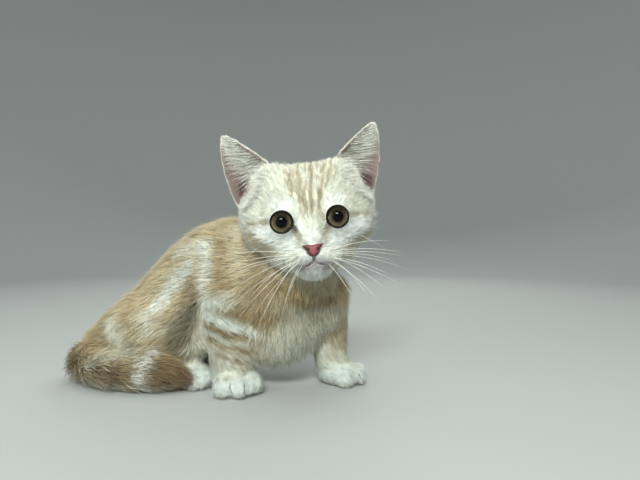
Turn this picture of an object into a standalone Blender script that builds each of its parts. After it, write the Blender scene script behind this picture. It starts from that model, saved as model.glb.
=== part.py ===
"""A still, life-size munchkin kitten, sitting with its head turned to its right.

Metres, +Z up, with the floor at Z 0. The body lies along X with its front end at +X,
and the cat's right side faces -Y. Places below are in millimetres and at() turns them
to metres. Each node's surface is the outer surface of the coat.
"""

import math

import bmesh
import bpy
import numpy as np
from mathutils import Euler, Matrix, Vector

MM = 0.001
GAP = 0.3  # between nodes that meet

# The head, in its own frame: x to the cat's left, y to the back, z up, from between the eyes.
HEAD_PLACE = (-6.8, -37.0, 117.0)
HEAD_TURN = (3.0, -5.9, 3.0)  # nod, tilt and turn, in degrees
EYE_APART = 34.8
EYE_RADIUS = 9.5
EYE_SHOWS = 7.3  # radius of the opening between the lids
LID_THICK = 1.5
SKULL_WIDE = 40.0
SKULL_TALL = 33.0
NOSE_PLACE = (0.0, -14.2, -18.0)
NOSE_DEPTH = (-9.0, 3.4)  # of the leather, in front of that place and behind it
NOSTRIL = (((3.0, -2.9, -0.3), (1.5, 1.9, 1.0), 30.0), ((4.7, -1.7, 0.3), (1.7, 2.4, 0.6), -10.0))

EAR_INNER_ROOT = (20.0, 13.0, 37.0)
EAR_OUTER_ROOT = (45.5, 26.0, 11.0)
EAR_TIP = (51.8, 24.0, 61.0)
EAR_CUP = 16.0
EAR_THICK = 2.4
EAR_SUNK = 0.28  # how much of its length more is made below the root, before the head cuts it

# The torso's stations from rump to brisket: x, y, z and radius.
SPINE = (
    (-163.0, 40.0, 21.0, 22.0),
    (-142.0, 41.0, 31.0, 29.5),
    (-125.0, 40.0, 42.0, 31.0),
    (-110.0, 38.0, 58.0, 31.0),
    (-97.0, 35.0, 70.0, 32.0),
    (-84.0, 31.0, 79.0, 33.0),
    (-68.0, 22.0, 84.0, 34.0),
    (-48.0, 9.0, 73.0, 32.0),
    (-30.0, 4.0, 44.0, 28.0),
)
BELLY = ((-58.0, 12.0, 48.0, 27.0), (-92.0, 30.0, 46.0, 28.0), (-120.0, 40.0, 36.0, 30.0))
NECK = ((-52.0, 14.0, 92.0, 27.0), (-30.0, 5.0, 96.0, 27.0), (-12.0, -2.0, 104.0, 27.0))
THROAT = ((-30.0, -2.0, 72.0, 24.0), (-11.0, -8.0, 82.0, 21.0))

# The legs' stations, each from its root to its ankle.
FORELEG_RIGHT = ((-60.0, -1.0, 72.0, 24.0), (-64.5, 0.0, 43.0, 19.0), (-61.6, -4.0, 20.0, 16.3),
                 (-58.8, -8.0, 10.0, 14.2))
FORELEG_LEFT = ((-2.0, 13.0, 64.0, 23.0), (4.0, 19.0, 38.0, 17.0), (7.5, 16.0, 20.0, 13.5),
                (11.0, 14.0, 10.0, 12.5))
THIGH = ((-131.0, 20.0, 38.0, 24.0), (-112.0, 15.0, 38.0, 24.0), (-97.0, 11.0, 33.0, 17.5))
SHIN = ((-97.0, 11.0, 33.0, 16.0), (-116.0, 17.0, 20.0, 14.0), (-124.0, 21.0, 12.0, 11.0))
FOOT = ((-124.0, 21.0, 11.0, 11.0), (-106.0, 12.0, 10.0, 10.5), (-92.0, 3.0, 9.0, 10.5))

# Paws: centre on the floor, pointing angle from -Y towards +X, half width, half length, height.
FOREPAW_RIGHT = (-57.8, -11.0, 22.0, 16.0, 16.5, 19.0)
FOREPAW_LEFT = (14.0, 12.5, 52.0, 15.5, 16.5, 18.5)
HINDPAW = (-90.0, 2.0, 55.0, 12.5, 14.0, 17.5)

# The toes from a paw's left to its right: place in its half width, and width against an even toe's.
EVEN_TOES = ((-0.69, 1.0), (-0.23, 1.0), (0.23, 1.0), (0.69, 1.0))
TOES_OF = {
    FOREPAW_RIGHT: ((-0.69, 1.35), (-0.07, 1.25), (0.42, 0.95), (0.78, 0.9)),
    FOREPAW_LEFT: ((-0.5, 1.5), (0.16, 1.05), (0.55, 0.9), (0.82, 0.8)),
}

# The pelvis's own plane of symmetry, about which the right hind leg is mirrored.
PELVIS = (-142.0, 41.0)
PELVIS_TURN = -7.0

TAIL_BASE_TO = 22.0  # Y of the first cut across it
TAIL_TIP_FROM = -138.0  # X of the second one
TAIL = (
    (-160.0, 44.0, 30.0, 15.0),
    (-172.0, 36.0, 21.0, 13.5),
    (-174.0, 20.0, 14.0, 12.5),
    (-164.0, 6.0, 13.0, 12.5),
    (-148.0, -3.0, 13.5, 13.5),
    (-130.0, -7.0, 14.0, 14.5),
    (-114.0, -8.5, 13.5, 13.5),
    (-103.0, -10.0, 12.0, 9.5),
    (-95.0, -11.5, 9.5, 4.5),
)

# The balls that part the nodes: centre and radii, the head's in its own frame.
HEAD_REGION = ((0.0, -6.0, 8.0), (64.0, 62.0, 54.0))
FORELEG_REGIONS = (
    ("foreleg_right", (-63.0, -4.0, 40.0), (27.0, 25.0, 44.0), 20.0),
    ("foreleg_left", (8.0, 18.0, 36.0), (22.0, 24.0, 40.0), 30.0),
)
HINDLEG_REGION = ((-114.0, 6.0, 26.0), (44.0, 26.0, 44.0))
NECK_PLACE = (-40.0, 2.0, 94.0)  # on the plane between the neck and the shoulders
NECK_OUT = (0.338, -0.451, 0.826)
CHEST_PLACE = (-84.0, 28.0, 70.0)  # on the plane between the chest and the loins
CHEST_OUT = (0.9, -0.35, 0.25)

BODY_VOXEL = 2.6
HEAD_VOXEL = 1.4
TAIL_VOXEL = 2.2
ROUGH_HEAD_REACH = 72.0  # how near a ball of the body has to be to meet the head
DRAW_REACH = 5.0  # how far the skin is drawn onto the smooth shape
BODY_KEEP = 0.105  # share of the faces that decimation keeps
HEAD_KEEP = 0.13
TAIL_KEEP = 0.2

CREAM = (0.76, 0.66, 0.48)
GINGER = (0.52, 0.36, 0.19)
WHITE = (0.82, 0.77, 0.67)
PINK = (0.50, 0.20, 0.19)
EAR_PINK = (0.62, 0.47, 0.40)
IRIS = (0.20, 0.15, 0.06)


def at(*place):
    """Millimetres as metres."""
    return np.array(place, float) * MM


def head_matrix():
    turn = Euler([math.radians(a) for a in HEAD_TURN], "XYZ").to_matrix().to_4x4()
    return Matrix.Translation(Vector(at(*HEAD_PLACE))) @ turn


HEAD = head_matrix()


def both_sides(x, y, z):
    return ((x, y, z), (-x, y, z))


# Shapes as distances. Each takes points as rows and gives how far outside the shape they are.


def smooth_joined(a, b, soft):
    """The union of two distances with a fillet about soft wide."""
    share = np.maximum(soft - np.abs(a - b), 0) / soft
    return np.minimum(a, b) - share * share * soft / 4


def ball(points, centre, radii, turn_z=0.0):
    """Distance to an ellipsoid, turned about Z by degrees."""
    off = points - centre
    if turn_z:
        c, s = math.cos(math.radians(turn_z)), math.sin(math.radians(turn_z))
        off = np.stack((off[:, 0] * c + off[:, 1] * s, off[:, 1] * c - off[:, 0] * s, off[:, 2]), 1)
    radii = np.array(radii, float)
    near = np.linalg.norm(off / radii, axis=1)
    slope = np.maximum(np.linalg.norm(off / radii**2, axis=1), 1e-9)
    return near * (near - 1) / slope


def rounded(stations, steps=4):
    """More stations on a smooth curve through the given ones."""
    rows = np.array(stations, float)
    rows = np.vstack((2 * rows[0] - rows[1], rows, 2 * rows[-1] - rows[-2]))
    found = []
    for a, b, c, d in zip(rows[:-3], rows[1:-2], rows[2:-1], rows[3:]):
        for t in np.arange(steps) / steps:
            found.append(
                0.5 * (2 * b + (c - a) * t + (2 * a - 5 * b + 4 * c - d) * t**2 + (3 * b - a - 3 * c + d) * t**3)
            )
    return np.array(found + [rows[-2]]) * MM


def limb(points, stations):
    """Distance to a tube through stations, whose radius changes along it."""
    rows = rounded(stations)
    best = np.full(len(points), 1e9)
    for a, b in zip(rows[:-1], rows[1:]):
        along = b[:3] - a[:3]
        t = np.clip((points - a[:3]) @ along / (along @ along), 0, 1)
        off = np.linalg.norm(points - a[:3] - t[:, None] * along, axis=1)
        best = np.minimum(best, off - a[3] - t * (b[3] - a[3]))
    return best


def paw_shapes(paw):
    """The ellipsoids of a paw: its pad and its toes, as (centre, radii, turn) in metres."""
    x, y, turn, half_wide, half_long, tall = paw
    c, s = math.cos(math.radians(turn)), math.sin(math.radians(turn))
    shapes = [(at(x, y, tall * 0.42), at(half_wide * 0.98, half_long * 0.95, tall * 0.56), turn)]
    toes = TOES_OF.get(paw, EVEN_TOES)
    toe = half_wide * 2 / len(toes)
    for share, width in toes:
        side = share * half_wide
        inner = 1 - abs(side) / half_wide
        ahead = half_long * (0.36 + 0.5 * inner)
        place = at(x + side * c + ahead * s, y + side * s - ahead * c, tall * 0.33)
        shapes.append((place, at(toe * 0.62 * width, toe * 0.95, tall * 0.42), turn))
    return shapes


def mirrored(x, y, z, *more):
    """A place on the right hind leg as the same place on the left one."""
    c, s = math.cos(math.radians(PELVIS_TURN)), math.sin(math.radians(PELVIS_TURN))
    dx, dy = x - PELVIS[0], y - PELVIS[1]
    along, across = dx * c + dy * s, dy * c - dx * s
    return (PELVIS[0] + along * c + across * s, PELVIS[1] + along * s - across * c, z, *more)


def mirrored_paw(paw):
    x, y, turn, *sizes = paw
    new_x, new_y, _ = mirrored(x, y, 0.0)
    return (new_x, new_y, 2 * (PELVIS_TURN + 90) - turn, *sizes)


HINDPAW_LEFT = mirrored_paw(HINDPAW)
LEFT_HIND = [tuple(mirrored(*row) for row in rows) for rows in (THIGH, SHIN, FOOT)]
LIMBS = [  # stations and the width of the fillet where each joins the body
    (SPINE, 1.0),
    (BELLY, 14.0),
    (NECK, 14.0),
    (THROAT, 12.0),
    (FORELEG_RIGHT, 9.0),
    (FORELEG_LEFT, 9.0),
    (THIGH, 9.0),
    (SHIN, 6.0),
    (FOOT, 4.0),
    (LEFT_HIND[0], 9.0),
    (LEFT_HIND[1], 6.0),
    (LEFT_HIND[2], 4.0),
]
PAWS = (FOREPAW_RIGHT, FOREPAW_LEFT, HINDPAW, HINDPAW_LEFT)
PAW_FILLET = 3.0
TOE_FILLET = 1.6

# The head's ellipsoids in its own frame: centre, radii and fillet.
HEAD_SHAPES = [
    ((0.0, 24.0, 5.0), (SKULL_WIDE, 33.0, SKULL_TALL), 1.0),
    *[(p, (17.0, 19.0, 20.0), 9.0) for p in both_sides(28.0, 22.0, 6.0)],
    *[(p, (20.0, 22.0, 15.5), 9.0) for p in both_sides(21.5, 15.0, -6.5)],
    ((0.0, 12.0, -22.0), (23.0, 22.0, 13.0), 8.0),
    ((0.0, -1.0, -8.0), (8.5, 11.0, 10.0), 7.0),
    ((0.0, -7.0, -15.0), (7.0, 9.0, 6.5), 5.0),
    *[(p, (9.5, 9.5, 7.6), 3.5) for p in both_sides(7.6, -7.2, -23.6)],
    ((0.0, -5.0, -31.0), (10.0, 8.5, 6.8), 3.5),
    *[(p, (9.0, 8.0, 6.0), 5.0) for p in both_sides(14.0, 3.0, 12.0)],
    *[(p, (12.0, 11.0, 12.0), 8.0) for p in both_sides(21.5, 15.5, 25.5)],
    *[(p, (EYE_RADIUS + LID_THICK,) * 3, 3.5) for p in both_sides(EYE_APART / 2, 0.0, 0.0)],
    *[((x, NOSE_PLACE[1] + 1.0, NOSE_PLACE[2] + 0.7), (3.4, 4.0, 3.2), 1.6) for x in (-3.3, 3.3)],
    ((0.0, NOSE_PLACE[1] + 0.4, NOSE_PLACE[2] + 0.3), (3.6, 4.2, 3.5), 1.8),
    ((0.0, NOSE_PLACE[1] + 1.6, NOSE_PLACE[2] - 3.0), (1.9, 3.4, 2.4), 1.6),
]


def head_distance(points):
    local = (points - np.array(HEAD.translation)) @ np.array(HEAD.to_3x3())
    found = None
    for centre, radii, soft in HEAD_SHAPES:
        near = ball(local, at(*centre), at(*radii))
        found = near if found is None else smooth_joined(found, near, soft * MM)
    return found


def body_distance(points):
    found = None
    for stations, soft in LIMBS:
        near = limb(points, stations)
        found = near if found is None else smooth_joined(found, near, soft * MM)
    for paw in PAWS:
        near = None
        for centre, radii, turn in paw_shapes(paw):
            one = ball(points, centre, radii, turn)
            near = one if near is None else smooth_joined(near, one, TOE_FILLET * MM)
        found = smooth_joined(found, near, PAW_FILLET * MM)
    return found


def whole_distance(points):
    return smooth_joined(body_distance(points), head_distance(points), 6.0 * MM)


def tail_distance(points):
    return limb(points, TAIL)


# Meshes.


def new_object(name, bm):
    mesh = bpy.data.meshes.new(name)
    bm.to_mesh(mesh)
    bm.free()
    obj = bpy.data.objects.new(name, mesh)
    bpy.context.scene.collection.objects.link(obj)
    return obj


def settle(obj):
    """Applies obj's modifiers."""
    graph = bpy.context.evaluated_depsgraph_get()
    mesh = bpy.data.meshes.new_from_object(obj.evaluated_get(graph))
    obj.modifiers.clear()
    old, obj.data = obj.data, mesh
    bpy.data.meshes.remove(old)
    return obj


def add_ball(bm, place, radii, turn=Matrix.Identity(4), detail=2):
    shape = Matrix.Translation(Vector(place)) @ turn @ Matrix.Diagonal((*radii, 1.0))
    bmesh.ops.create_icosphere(bm, subdivisions=detail, radius=1.0, matrix=shape)


def add_head_balls(bm, detail):
    for centre, radii, _ in HEAD_SHAPES:
        turn = HEAD.to_3x3().to_4x4()
        add_ball(bm, HEAD @ Vector(at(*centre)), at(*radii), turn, detail)


def rough_body():
    """Overlapping balls that fill the body's shapes."""
    bm = bmesh.new()
    add_head_balls(bm, 2)
    for stations, _ in LIMBS:
        for row in rounded(stations):
            add_ball(bm, row[:3], (row[3],) * 3)
    for paw in PAWS:
        for centre, radii, turn in paw_shapes(paw):
            add_ball(bm, centre, radii, Matrix.Rotation(math.radians(turn), 4, "Z"))
    return new_object("rough_body", bm)


def rough_head():
    bm = bmesh.new()
    add_head_balls(bm, 3)
    middle = np.array(HEAD @ Vector(at(0.0, 24.0, -10.0)))
    for stations, _ in LIMBS:
        for row in rounded(stations):
            if np.linalg.norm(row[:3] - middle) < ROUGH_HEAD_REACH * MM:
                add_ball(bm, row[:3], (row[3],) * 3, detail=3)
    return new_object("rough_head", bm)


def rough_tail():
    bm = bmesh.new()
    for row in rounded(TAIL):
        add_ball(bm, row[:3], (row[3],) * 3)
    return new_object("rough_tail", bm)


def formed(obj, voxel, distance, keep, rounds=8):
    """Fuses obj's balls, draws the skin onto the smooth shape and thins its faces."""
    remesh = obj.modifiers.new("fuse", "REMESH")
    remesh.mode = "VOXEL"
    remesh.voxel_size = voxel * MM
    settle(obj)
    points = np.empty(len(obj.data.vertices) * 3)
    obj.data.vertices.foreach_get("co", points)
    points = points.reshape(-1, 3)
    step = 0.05 * MM
    for _ in range(rounds):
        near = distance(points)
        slope = np.stack([(distance(points + step * np.eye(3)[n]) - near) / step for n in range(3)], 1)
        length = np.maximum(np.einsum("ij,ij->i", slope, slope), 0.05)
        reach = np.clip(2.0 - np.abs(near) / (DRAW_REACH * MM), 0.0, 1.0)
        points = points - 0.8 * (reach * near / length)[:, None] * slope
    obj.data.vertices.foreach_set("co", points.ravel())
    obj.data.update()
    thin = obj.modifiers.new("thin", "DECIMATE")
    thin.ratio = keep
    thin.use_collapse_triangulate = True
    return settle(obj)


def copy_of(obj, name):
    twin = obj.copy()
    twin.data = obj.data.copy()
    twin.name = name
    bpy.context.scene.collection.objects.link(twin)
    return twin


def largest(obj):
    """Keeps obj's largest closed surface."""
    bm = bmesh.new()
    bm.from_mesh(obj.data)
    bmesh.ops.dissolve_degenerate(bm, dist=1e-7, edges=bm.edges)
    left, shells = set(bm.faces), []
    while left:
        shell, edge = [], [left.pop()]
        while edge:
            face = edge.pop()
            shell.append(face)
            for e in face.edges:
                for other in e.link_faces:
                    if other in left:
                        left.remove(other)
                        edge.append(other)
        shells.append(shell)
    shells.sort(key=lambda shell: sum(face.calc_area() for face in shell))
    extra = [face for shell in shells[:-1] for face in shell]
    bmesh.ops.delete(bm, geom=extra, context="FACES")
    bmesh.ops.delete(bm, geom=[v for v in bm.verts if not v.link_faces], context="VERTS")
    bm.to_mesh(obj.data)
    bm.free()
    return obj


def cut(obj, tool, operation="DIFFERENCE"):
    """Cuts obj with tool, which then goes."""
    boolean = obj.modifiers.new("cut", "BOOLEAN")
    boolean.operation = operation
    boolean.solver = "EXACT"
    boolean.object = tool
    settle(obj)
    bpy.data.objects.remove(tool)
    return largest(obj)


def region_ball(centre, radii, grow=0.0, turn=(0.0, 0.0, 0.0), detail=3):
    bm = bmesh.new()
    turned = Euler([math.radians(a) for a in turn], "XYZ").to_matrix().to_4x4()
    add_ball(bm, at(*centre), [(r + grow) * MM for r in radii], turned, detail)
    return new_object("region", bm)


def region_box(centre, sizes, grow=0.0, turn=(0.0, 0.0, 0.0)):
    bm = bmesh.new()
    turned = Euler([math.radians(a) for a in turn], "XYZ").to_matrix().to_4x4()
    shape = Matrix.Diagonal((*[(s + 2 * grow) * MM for s in sizes], 1.0))
    bmesh.ops.create_cube(bm, size=1.0, matrix=Matrix.Translation(Vector(at(*centre))) @ turned @ shape)
    return new_object("region", bm)


def parted(rest, name, make_region, *place, **how):
    """Takes the part of rest inside a region as a node, and leaves the gap between them."""
    part = cut(copy_of(rest, name), make_region(*place, **how), "INTERSECT")
    cut(rest, make_region(*place, grow=GAP, **how))
    return part


def above_floor(obj):
    """Cuts off what lies below the floor, which leaves the flats that the cat rests on."""
    return cut(obj, region_box((-80.0, 20.0, -50.0), (600.0, 400.0, 100.0)))


def grown(obj, name, by):
    """A copy of obj, swollen along its normals by a distance in millimetres."""
    twin = copy_of(obj, name)
    normals = [v.normal.copy() for v in twin.data.vertices]
    for v, normal in zip(twin.data.vertices, normals):
        v.co += normal * by * MM
    return twin


def eye_socket(side):
    """The hole for an eye: its ball, and the round opening of the lids with its inner corner."""
    place = Vector(at(side * EYE_APART / 2, 0, 0))
    bm = bmesh.new()
    add_ball(bm, place, ((EYE_RADIUS + GAP) * MM,) * 3, detail=3)
    tools = [bm]
    reach = 16.0
    for x, z, radius in ((0.0, 0.0, EYE_SHOWS), (-side * 6.2, -2.6, 2.6)):
        bm = bmesh.new()
        aim = Matrix.Rotation(math.pi / 2, 4, "X")
        middle = Matrix.Translation(place + Vector(at(x, -reach / 2 - 4.0, z)))
        bmesh.ops.create_cone(
            bm, cap_ends=True, segments=32, radius1=radius * MM, radius2=radius * MM, depth=reach * MM,
            matrix=middle @ aim,
        )
        tools.append(bm)
    for bm in tools:
        bmesh.ops.transform(bm, matrix=HEAD, verts=bm.verts)
    socket, *openings = [new_object("socket", bm) for bm in tools]
    for opening in openings:
        cut(socket, opening, "UNION")
    return socket


def add_eye(name, side):
    bm = bmesh.new()
    bmesh.ops.create_uvsphere(bm, u_segments=22, v_segments=14, radius=EYE_RADIUS * MM)
    turn = Matrix.Rotation(math.pi / 2, 4, "X")
    bmesh.ops.transform(bm, matrix=turn, verts=bm.verts)
    for v in bm.verts:  # the clear front swells past the ball
        front = max(0.0, -v.co.y / (EYE_RADIUS * MM) - 0.72) / 0.28
        v.co.y -= 0.7 * MM * math.sin(front * math.pi / 2)
    bmesh.ops.transform(bm, matrix=Matrix.Translation(Vector(at(side * EYE_APART / 2, 0, 0))), verts=bm.verts)
    bmesh.ops.transform(bm, matrix=HEAD, verts=bm.verts)
    return new_object(name, bm)


def ear_point(side, across, up):
    """A point of the ear's middle sheet: across from -1 inner to 1 outer, up from 0 root to 1 tip."""
    inner, outer, tip = (np.array(p) for p in (EAR_INNER_ROOT, EAR_OUTER_ROOT, EAR_TIP))
    middle = (inner + outer) / 2
    fall = 1 - max(up, 0.0)
    wide = (fall**0.76 if across < 0 else (1 - max(up, 0.0) ** 1.8) ** 0.68) + 0.02
    cup = EAR_CUP * (1 - 0.85 * up) * (1 - across**2)
    place = middle + (tip - middle) * up + (outer - inner) / 2 * wide * across
    place = place + np.array((0.0, cup, 0.0))
    return Vector(at(side * place[0], place[1], place[2]))


def add_ear(name, side, head):
    """A cupped ear whose root is cut to the head's surface."""
    bm = bmesh.new()
    bmesh.ops.create_grid(bm, x_segments=8, y_segments=10, size=1.0)
    for v in bm.verts:
        below = ((1 - v.co.y) / 2) ** 1.7  # the rows lie closer towards the tip
        v.co = ear_point(side, v.co.x, 1.0 - below * (1.0 + EAR_SUNK))
    bmesh.ops.remove_doubles(bm, verts=bm.verts, dist=1e-5)
    bmesh.ops.recalc_face_normals(bm, faces=bm.faces)
    bmesh.ops.transform(bm, matrix=HEAD, verts=bm.verts)
    ear = new_object(name, bm)
    thick = ear.modifiers.new("thickness", "SOLIDIFY")
    thick.thickness = EAR_THICK * MM
    thick.offset = 0.0
    settle(ear)
    bm = bmesh.new()
    bm.from_mesh(ear.data)
    bmesh.ops.recalc_face_normals(bm, faces=bm.faces)
    bm.to_mesh(ear.data)
    bm.free()
    return cut(ear, grown(head, "head_grown", GAP))


def groove(points, radius):
    """A tube along points in the head's frame, to cut a line with."""
    curve = bpy.data.curves.new("groove", "CURVE")
    curve.dimensions = "3D"
    curve.bevel_depth = radius * MM
    curve.bevel_resolution = 1
    curve.use_fill_caps = True
    line = curve.splines.new("POLY")
    line.points.add(len(points) - 1)
    for point, place in zip(line.points, points):
        point.co = (*(HEAD @ Vector(at(*place))), 1.0)
    obj = bpy.data.objects.new("groove", curve)
    bpy.context.scene.collection.objects.link(obj)
    graph = bpy.context.evaluated_depsgraph_get()
    mesh = bpy.data.meshes.new_from_object(obj.evaluated_get(graph))
    bpy.data.objects.remove(obj)
    tube = bpy.data.objects.new("groove", mesh)
    bpy.context.scene.collection.objects.link(tube)
    bm = bmesh.new()
    bm.from_mesh(mesh)
    bmesh.ops.remove_doubles(bm, verts=bm.verts, dist=1e-6)
    bmesh.ops.recalc_face_normals(bm, faces=bm.faces)
    bm.to_mesh(mesh)
    bm.free()
    return tube


def surface_line(places):
    """Places in the head's frame moved along y onto the head's surface."""
    found = []
    for x, z in places:
        low, high = -40.0, 0.0
        for _ in range(24):
            middle = (low + high) / 2
            world = HEAD @ Vector(at(x, middle, z))
            if head_distance(np.array([world]))[0] > 0:
                low = middle
            else:
                high = middle
        found.append((x, low, z))
    return found


def finish(obj, colour, roughness):
    material = bpy.data.materials.new(obj.name)
    material.use_nodes = True
    shader = material.node_tree.nodes["Principled BSDF"]
    shader.inputs["Base Color"].default_value = (*colour, 1.0)
    shader.inputs["Roughness"].default_value = roughness
    obj.data.materials.clear()
    obj.data.materials.append(material)
    obj.data.shade_smooth()
    obj.data.set_sharp_from_angle(angle=math.radians(50))


def head_region(grow=0.0):
    bm = bmesh.new()
    centre, radii = HEAD_REGION
    add_ball(bm, at(*centre), [(r + grow) * MM for r in radii], detail=3)
    bmesh.ops.transform(bm, matrix=HEAD, verts=bm.verts)
    return new_object("head_region", bm)


def half_space(place, out, grow=0.0):
    """All that lies on one side of a plane."""
    bm = bmesh.new()
    out = Vector(out).normalized()
    aim = out.to_track_quat("Z", "Y").to_matrix().to_4x4()
    middle = Vector(at(*place)) + out * (100.0 - grow) * MM
    shape = Matrix.Diagonal((0.4, 0.4, 0.2, 1.0))
    bmesh.ops.create_cube(bm, size=1.0, matrix=Matrix.Translation(middle) @ aim @ shape)
    return new_object("half_space", bm)


def build_head():
    head = formed(rough_head(), HEAD_VOXEL, whole_distance, HEAD_KEEP)
    cut(head, head_region(), "INTERSECT")
    for side in (-1, 1):
        cut(head, eye_socket(side))
    mouth = surface_line([(12.5, -28.2), (8.0, -27.6), (3.5, -26.8), (0.0, -26.0)])
    whole_mouth = [(-x, y, z) for x, y, z in mouth] + [(x, y, z) for x, y, z in reversed(mouth[:-1])]
    cut(head, groove(whole_mouth, 0.6))
    return head


def nose_tool(grow=0.0):
    """A rounded triangle, wide above and pointed below, run through the face from the front."""
    x, y, z = NOSE_PLACE
    bm = bmesh.new()
    sides = 12
    for across, up, radius in ((-4.3, 1.5, 2.5), (4.3, 1.5, 2.5), (0.0, -3.2, 1.6)):
        for n in range(sides):
            turn = 2 * math.pi * n / sides
            for depth in (NOSE_DEPTH[0] - grow, NOSE_DEPTH[1] + grow):
                corner = (across + (radius + grow) * math.cos(turn), up + (radius + grow) * math.sin(turn))
                bm.verts.new(at(x + corner[0], y + depth, z + corner[1]))
    bmesh.ops.convex_hull(bm, input=bm.verts)
    bmesh.ops.delete(bm, geom=[v for v in bm.verts if not v.link_faces], context="VERTS")
    bmesh.ops.recalc_face_normals(bm, faces=bm.faces)
    bmesh.ops.transform(bm, matrix=HEAD, verts=bm.verts)
    return new_object("nose_tool", bm)


def build_nose(head):
    """The nose leather, parted from the face, with its comma-shaped nostrils."""
    x, y, z = NOSE_PLACE
    nose = cut(copy_of(head, "nose"), nose_tool(), "INTERSECT")
    cut(head, nose_tool(GAP))
    for side in (-1, 1):
        for place, radii, tilt in NOSTRIL:
            bm = bmesh.new()
            turn = Matrix.Rotation(math.radians(side * tilt), 4, "Y")
            add_ball(bm, at(x + side * place[0], y + place[1], z + place[2]), at(*radii), turn, 2)
            bmesh.ops.transform(bm, matrix=HEAD, verts=bm.verts)
            cut(nose, new_object("nostril", bm))
    return nose


def build_tail(torso, others):
    """The tail in three lengths, clear of the rump and of the leg and paw that it passes."""
    tail = formed(rough_tail(), TAIL_VOXEL, tail_distance, TAIL_KEEP)
    above_floor(tail)
    for other in (torso, *others):
        cut(tail, grown(other, "grown", GAP))
    tip = parted(tail, "tail_tip", region_box, (TAIL_TIP_FROM + 60.0, 0.0, 20.0), (120.0, 60.0, 60.0))
    middle = parted(tail, "tail_middle", region_box, (-150.0, TAIL_BASE_TO - 50.0, 20.0), (120.0, 100.0, 60.0))
    return {"tail_base": tail, "tail_middle": middle, "tail_tip": tip}


def centred(objects):
    """Moves the objects so that their common box stands on the origin with its bottom's middle."""
    corners = np.array([v.co for obj in objects for v in obj.data.vertices])
    low, high = corners.min(0), corners.max(0)
    back = Matrix.Translation(-Vector(((low[0] + high[0]) / 2, (low[1] + high[1]) / 2, low[2])))
    for obj in objects:
        obj.data.transform(back)


def main():
    for obj in list(bpy.data.objects):
        bpy.data.objects.remove(obj)
    head = build_head()
    head.name = "head"
    body = formed(rough_body(), BODY_VOXEL, whole_distance, BODY_KEEP)
    above_floor(body)
    cut(body, head_region(GAP))

    nodes = {"head": (head, CREAM, 0.85), "nose": (build_nose(head), PINK, 0.45)}
    for name, side in (("ear_right", -1), ("ear_left", 1)):
        nodes[name] = (add_ear(name, side, head), EAR_PINK, 0.8)
    for name, side in (("eye_right", -1), ("eye_left", 1)):
        nodes[name] = (add_eye(name, side), IRIS, 0.05)

    nodes["neck"] = (parted(body, "neck", half_space, NECK_PLACE, NECK_OUT), GINGER, 0.85)
    for name, paw in (("forepaw_right", FOREPAW_RIGHT), ("forepaw_left", FOREPAW_LEFT)):
        centre = (paw[0], paw[1] - 2.0, 2.0)
        nodes[name] = (parted(body, name, region_box, centre, (52.0, 52.0, 29.0)), WHITE, 0.85)
    for name, centre, radii, turn in FORELEG_REGIONS:
        nodes[name] = (parted(body, name, region_ball, centre, radii, turn=(0, 0, turn)), CREAM, 0.85)
    for name, paw in (("hindpaw_right", HINDPAW), ("hindpaw_left", HINDPAW_LEFT)):
        centre = (paw[0] + 2.0, paw[1], 1.0)
        nodes[name] = (parted(body, name, region_box, centre, (44.0, 50.0, 36.0)), WHITE, 0.85)
    centre, radii = HINDLEG_REGION
    nodes["hindleg_right"] = (parted(body, "hindleg_right", region_ball, centre, radii), GINGER, 0.85)
    nodes["hindleg_left"] = (parted(body, "hindleg_left", region_ball, mirrored(*centre), radii), GINGER, 0.85)
    beside = [nodes[name][0] for name in ("hindleg_right", "hindpaw_right")]
    for name, obj in build_tail(body, beside).items():
        nodes[name] = (obj, GINGER, 0.85)
    nodes["chest"] = (parted(body, "chest", half_space, CHEST_PLACE, CHEST_OUT), GINGER, 0.85)
    nodes["loins"] = (body, GINGER, 0.85)

    centred([obj for obj, _, _ in nodes.values()])
    for name, (obj, colour, roughness) in nodes.items():
        obj.name = name
        finish(obj, colour, roughness)
        print(name, len(obj.data.polygons))


main()
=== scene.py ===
"""The looks of a still, life-size munchkin kitten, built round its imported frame.

Sizes are in millimetres until at() or placed() turns them to the frame's metres. Places are given on
the kitten's plan: its origin is on the floor below the camera's line, X runs from the rump to the
chest, Y away from the camera and Z up. The head has its own frame between the eyes: x to the
kitten's left, y to the back of the head and z up.
"""

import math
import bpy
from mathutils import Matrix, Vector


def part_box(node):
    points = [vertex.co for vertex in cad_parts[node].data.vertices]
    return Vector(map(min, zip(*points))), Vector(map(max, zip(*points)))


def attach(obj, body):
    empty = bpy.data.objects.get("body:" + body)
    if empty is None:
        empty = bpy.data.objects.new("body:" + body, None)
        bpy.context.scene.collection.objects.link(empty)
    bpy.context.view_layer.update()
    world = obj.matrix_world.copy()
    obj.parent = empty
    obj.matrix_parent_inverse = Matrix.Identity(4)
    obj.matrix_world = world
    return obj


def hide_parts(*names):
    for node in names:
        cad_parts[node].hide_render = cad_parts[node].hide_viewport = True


bl_info = {
    "name": "Munchkin Kitten",
    "version": (1, 0, 0),
    "blender": (4, 5, 0),
    "location": "3D View > Sidebar > Kitten",
    "description": "Builds the skin, coat, eyes, nose and whiskers of a sitting munchkin kitten",
    "category": "Add Mesh",
}

import bmesh
import bpy
import numpy as np
from mathutils import Matrix, Vector, noise
from mathutils.bvhtree import BVHTree
from mathutils.kdtree import KDTree

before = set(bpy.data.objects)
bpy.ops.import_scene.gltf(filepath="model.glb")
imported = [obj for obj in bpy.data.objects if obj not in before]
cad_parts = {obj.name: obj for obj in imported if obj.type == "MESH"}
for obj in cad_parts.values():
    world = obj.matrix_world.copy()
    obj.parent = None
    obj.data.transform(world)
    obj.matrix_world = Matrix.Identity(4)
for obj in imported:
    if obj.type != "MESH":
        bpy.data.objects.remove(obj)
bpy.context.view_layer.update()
MM = 0.001

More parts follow.
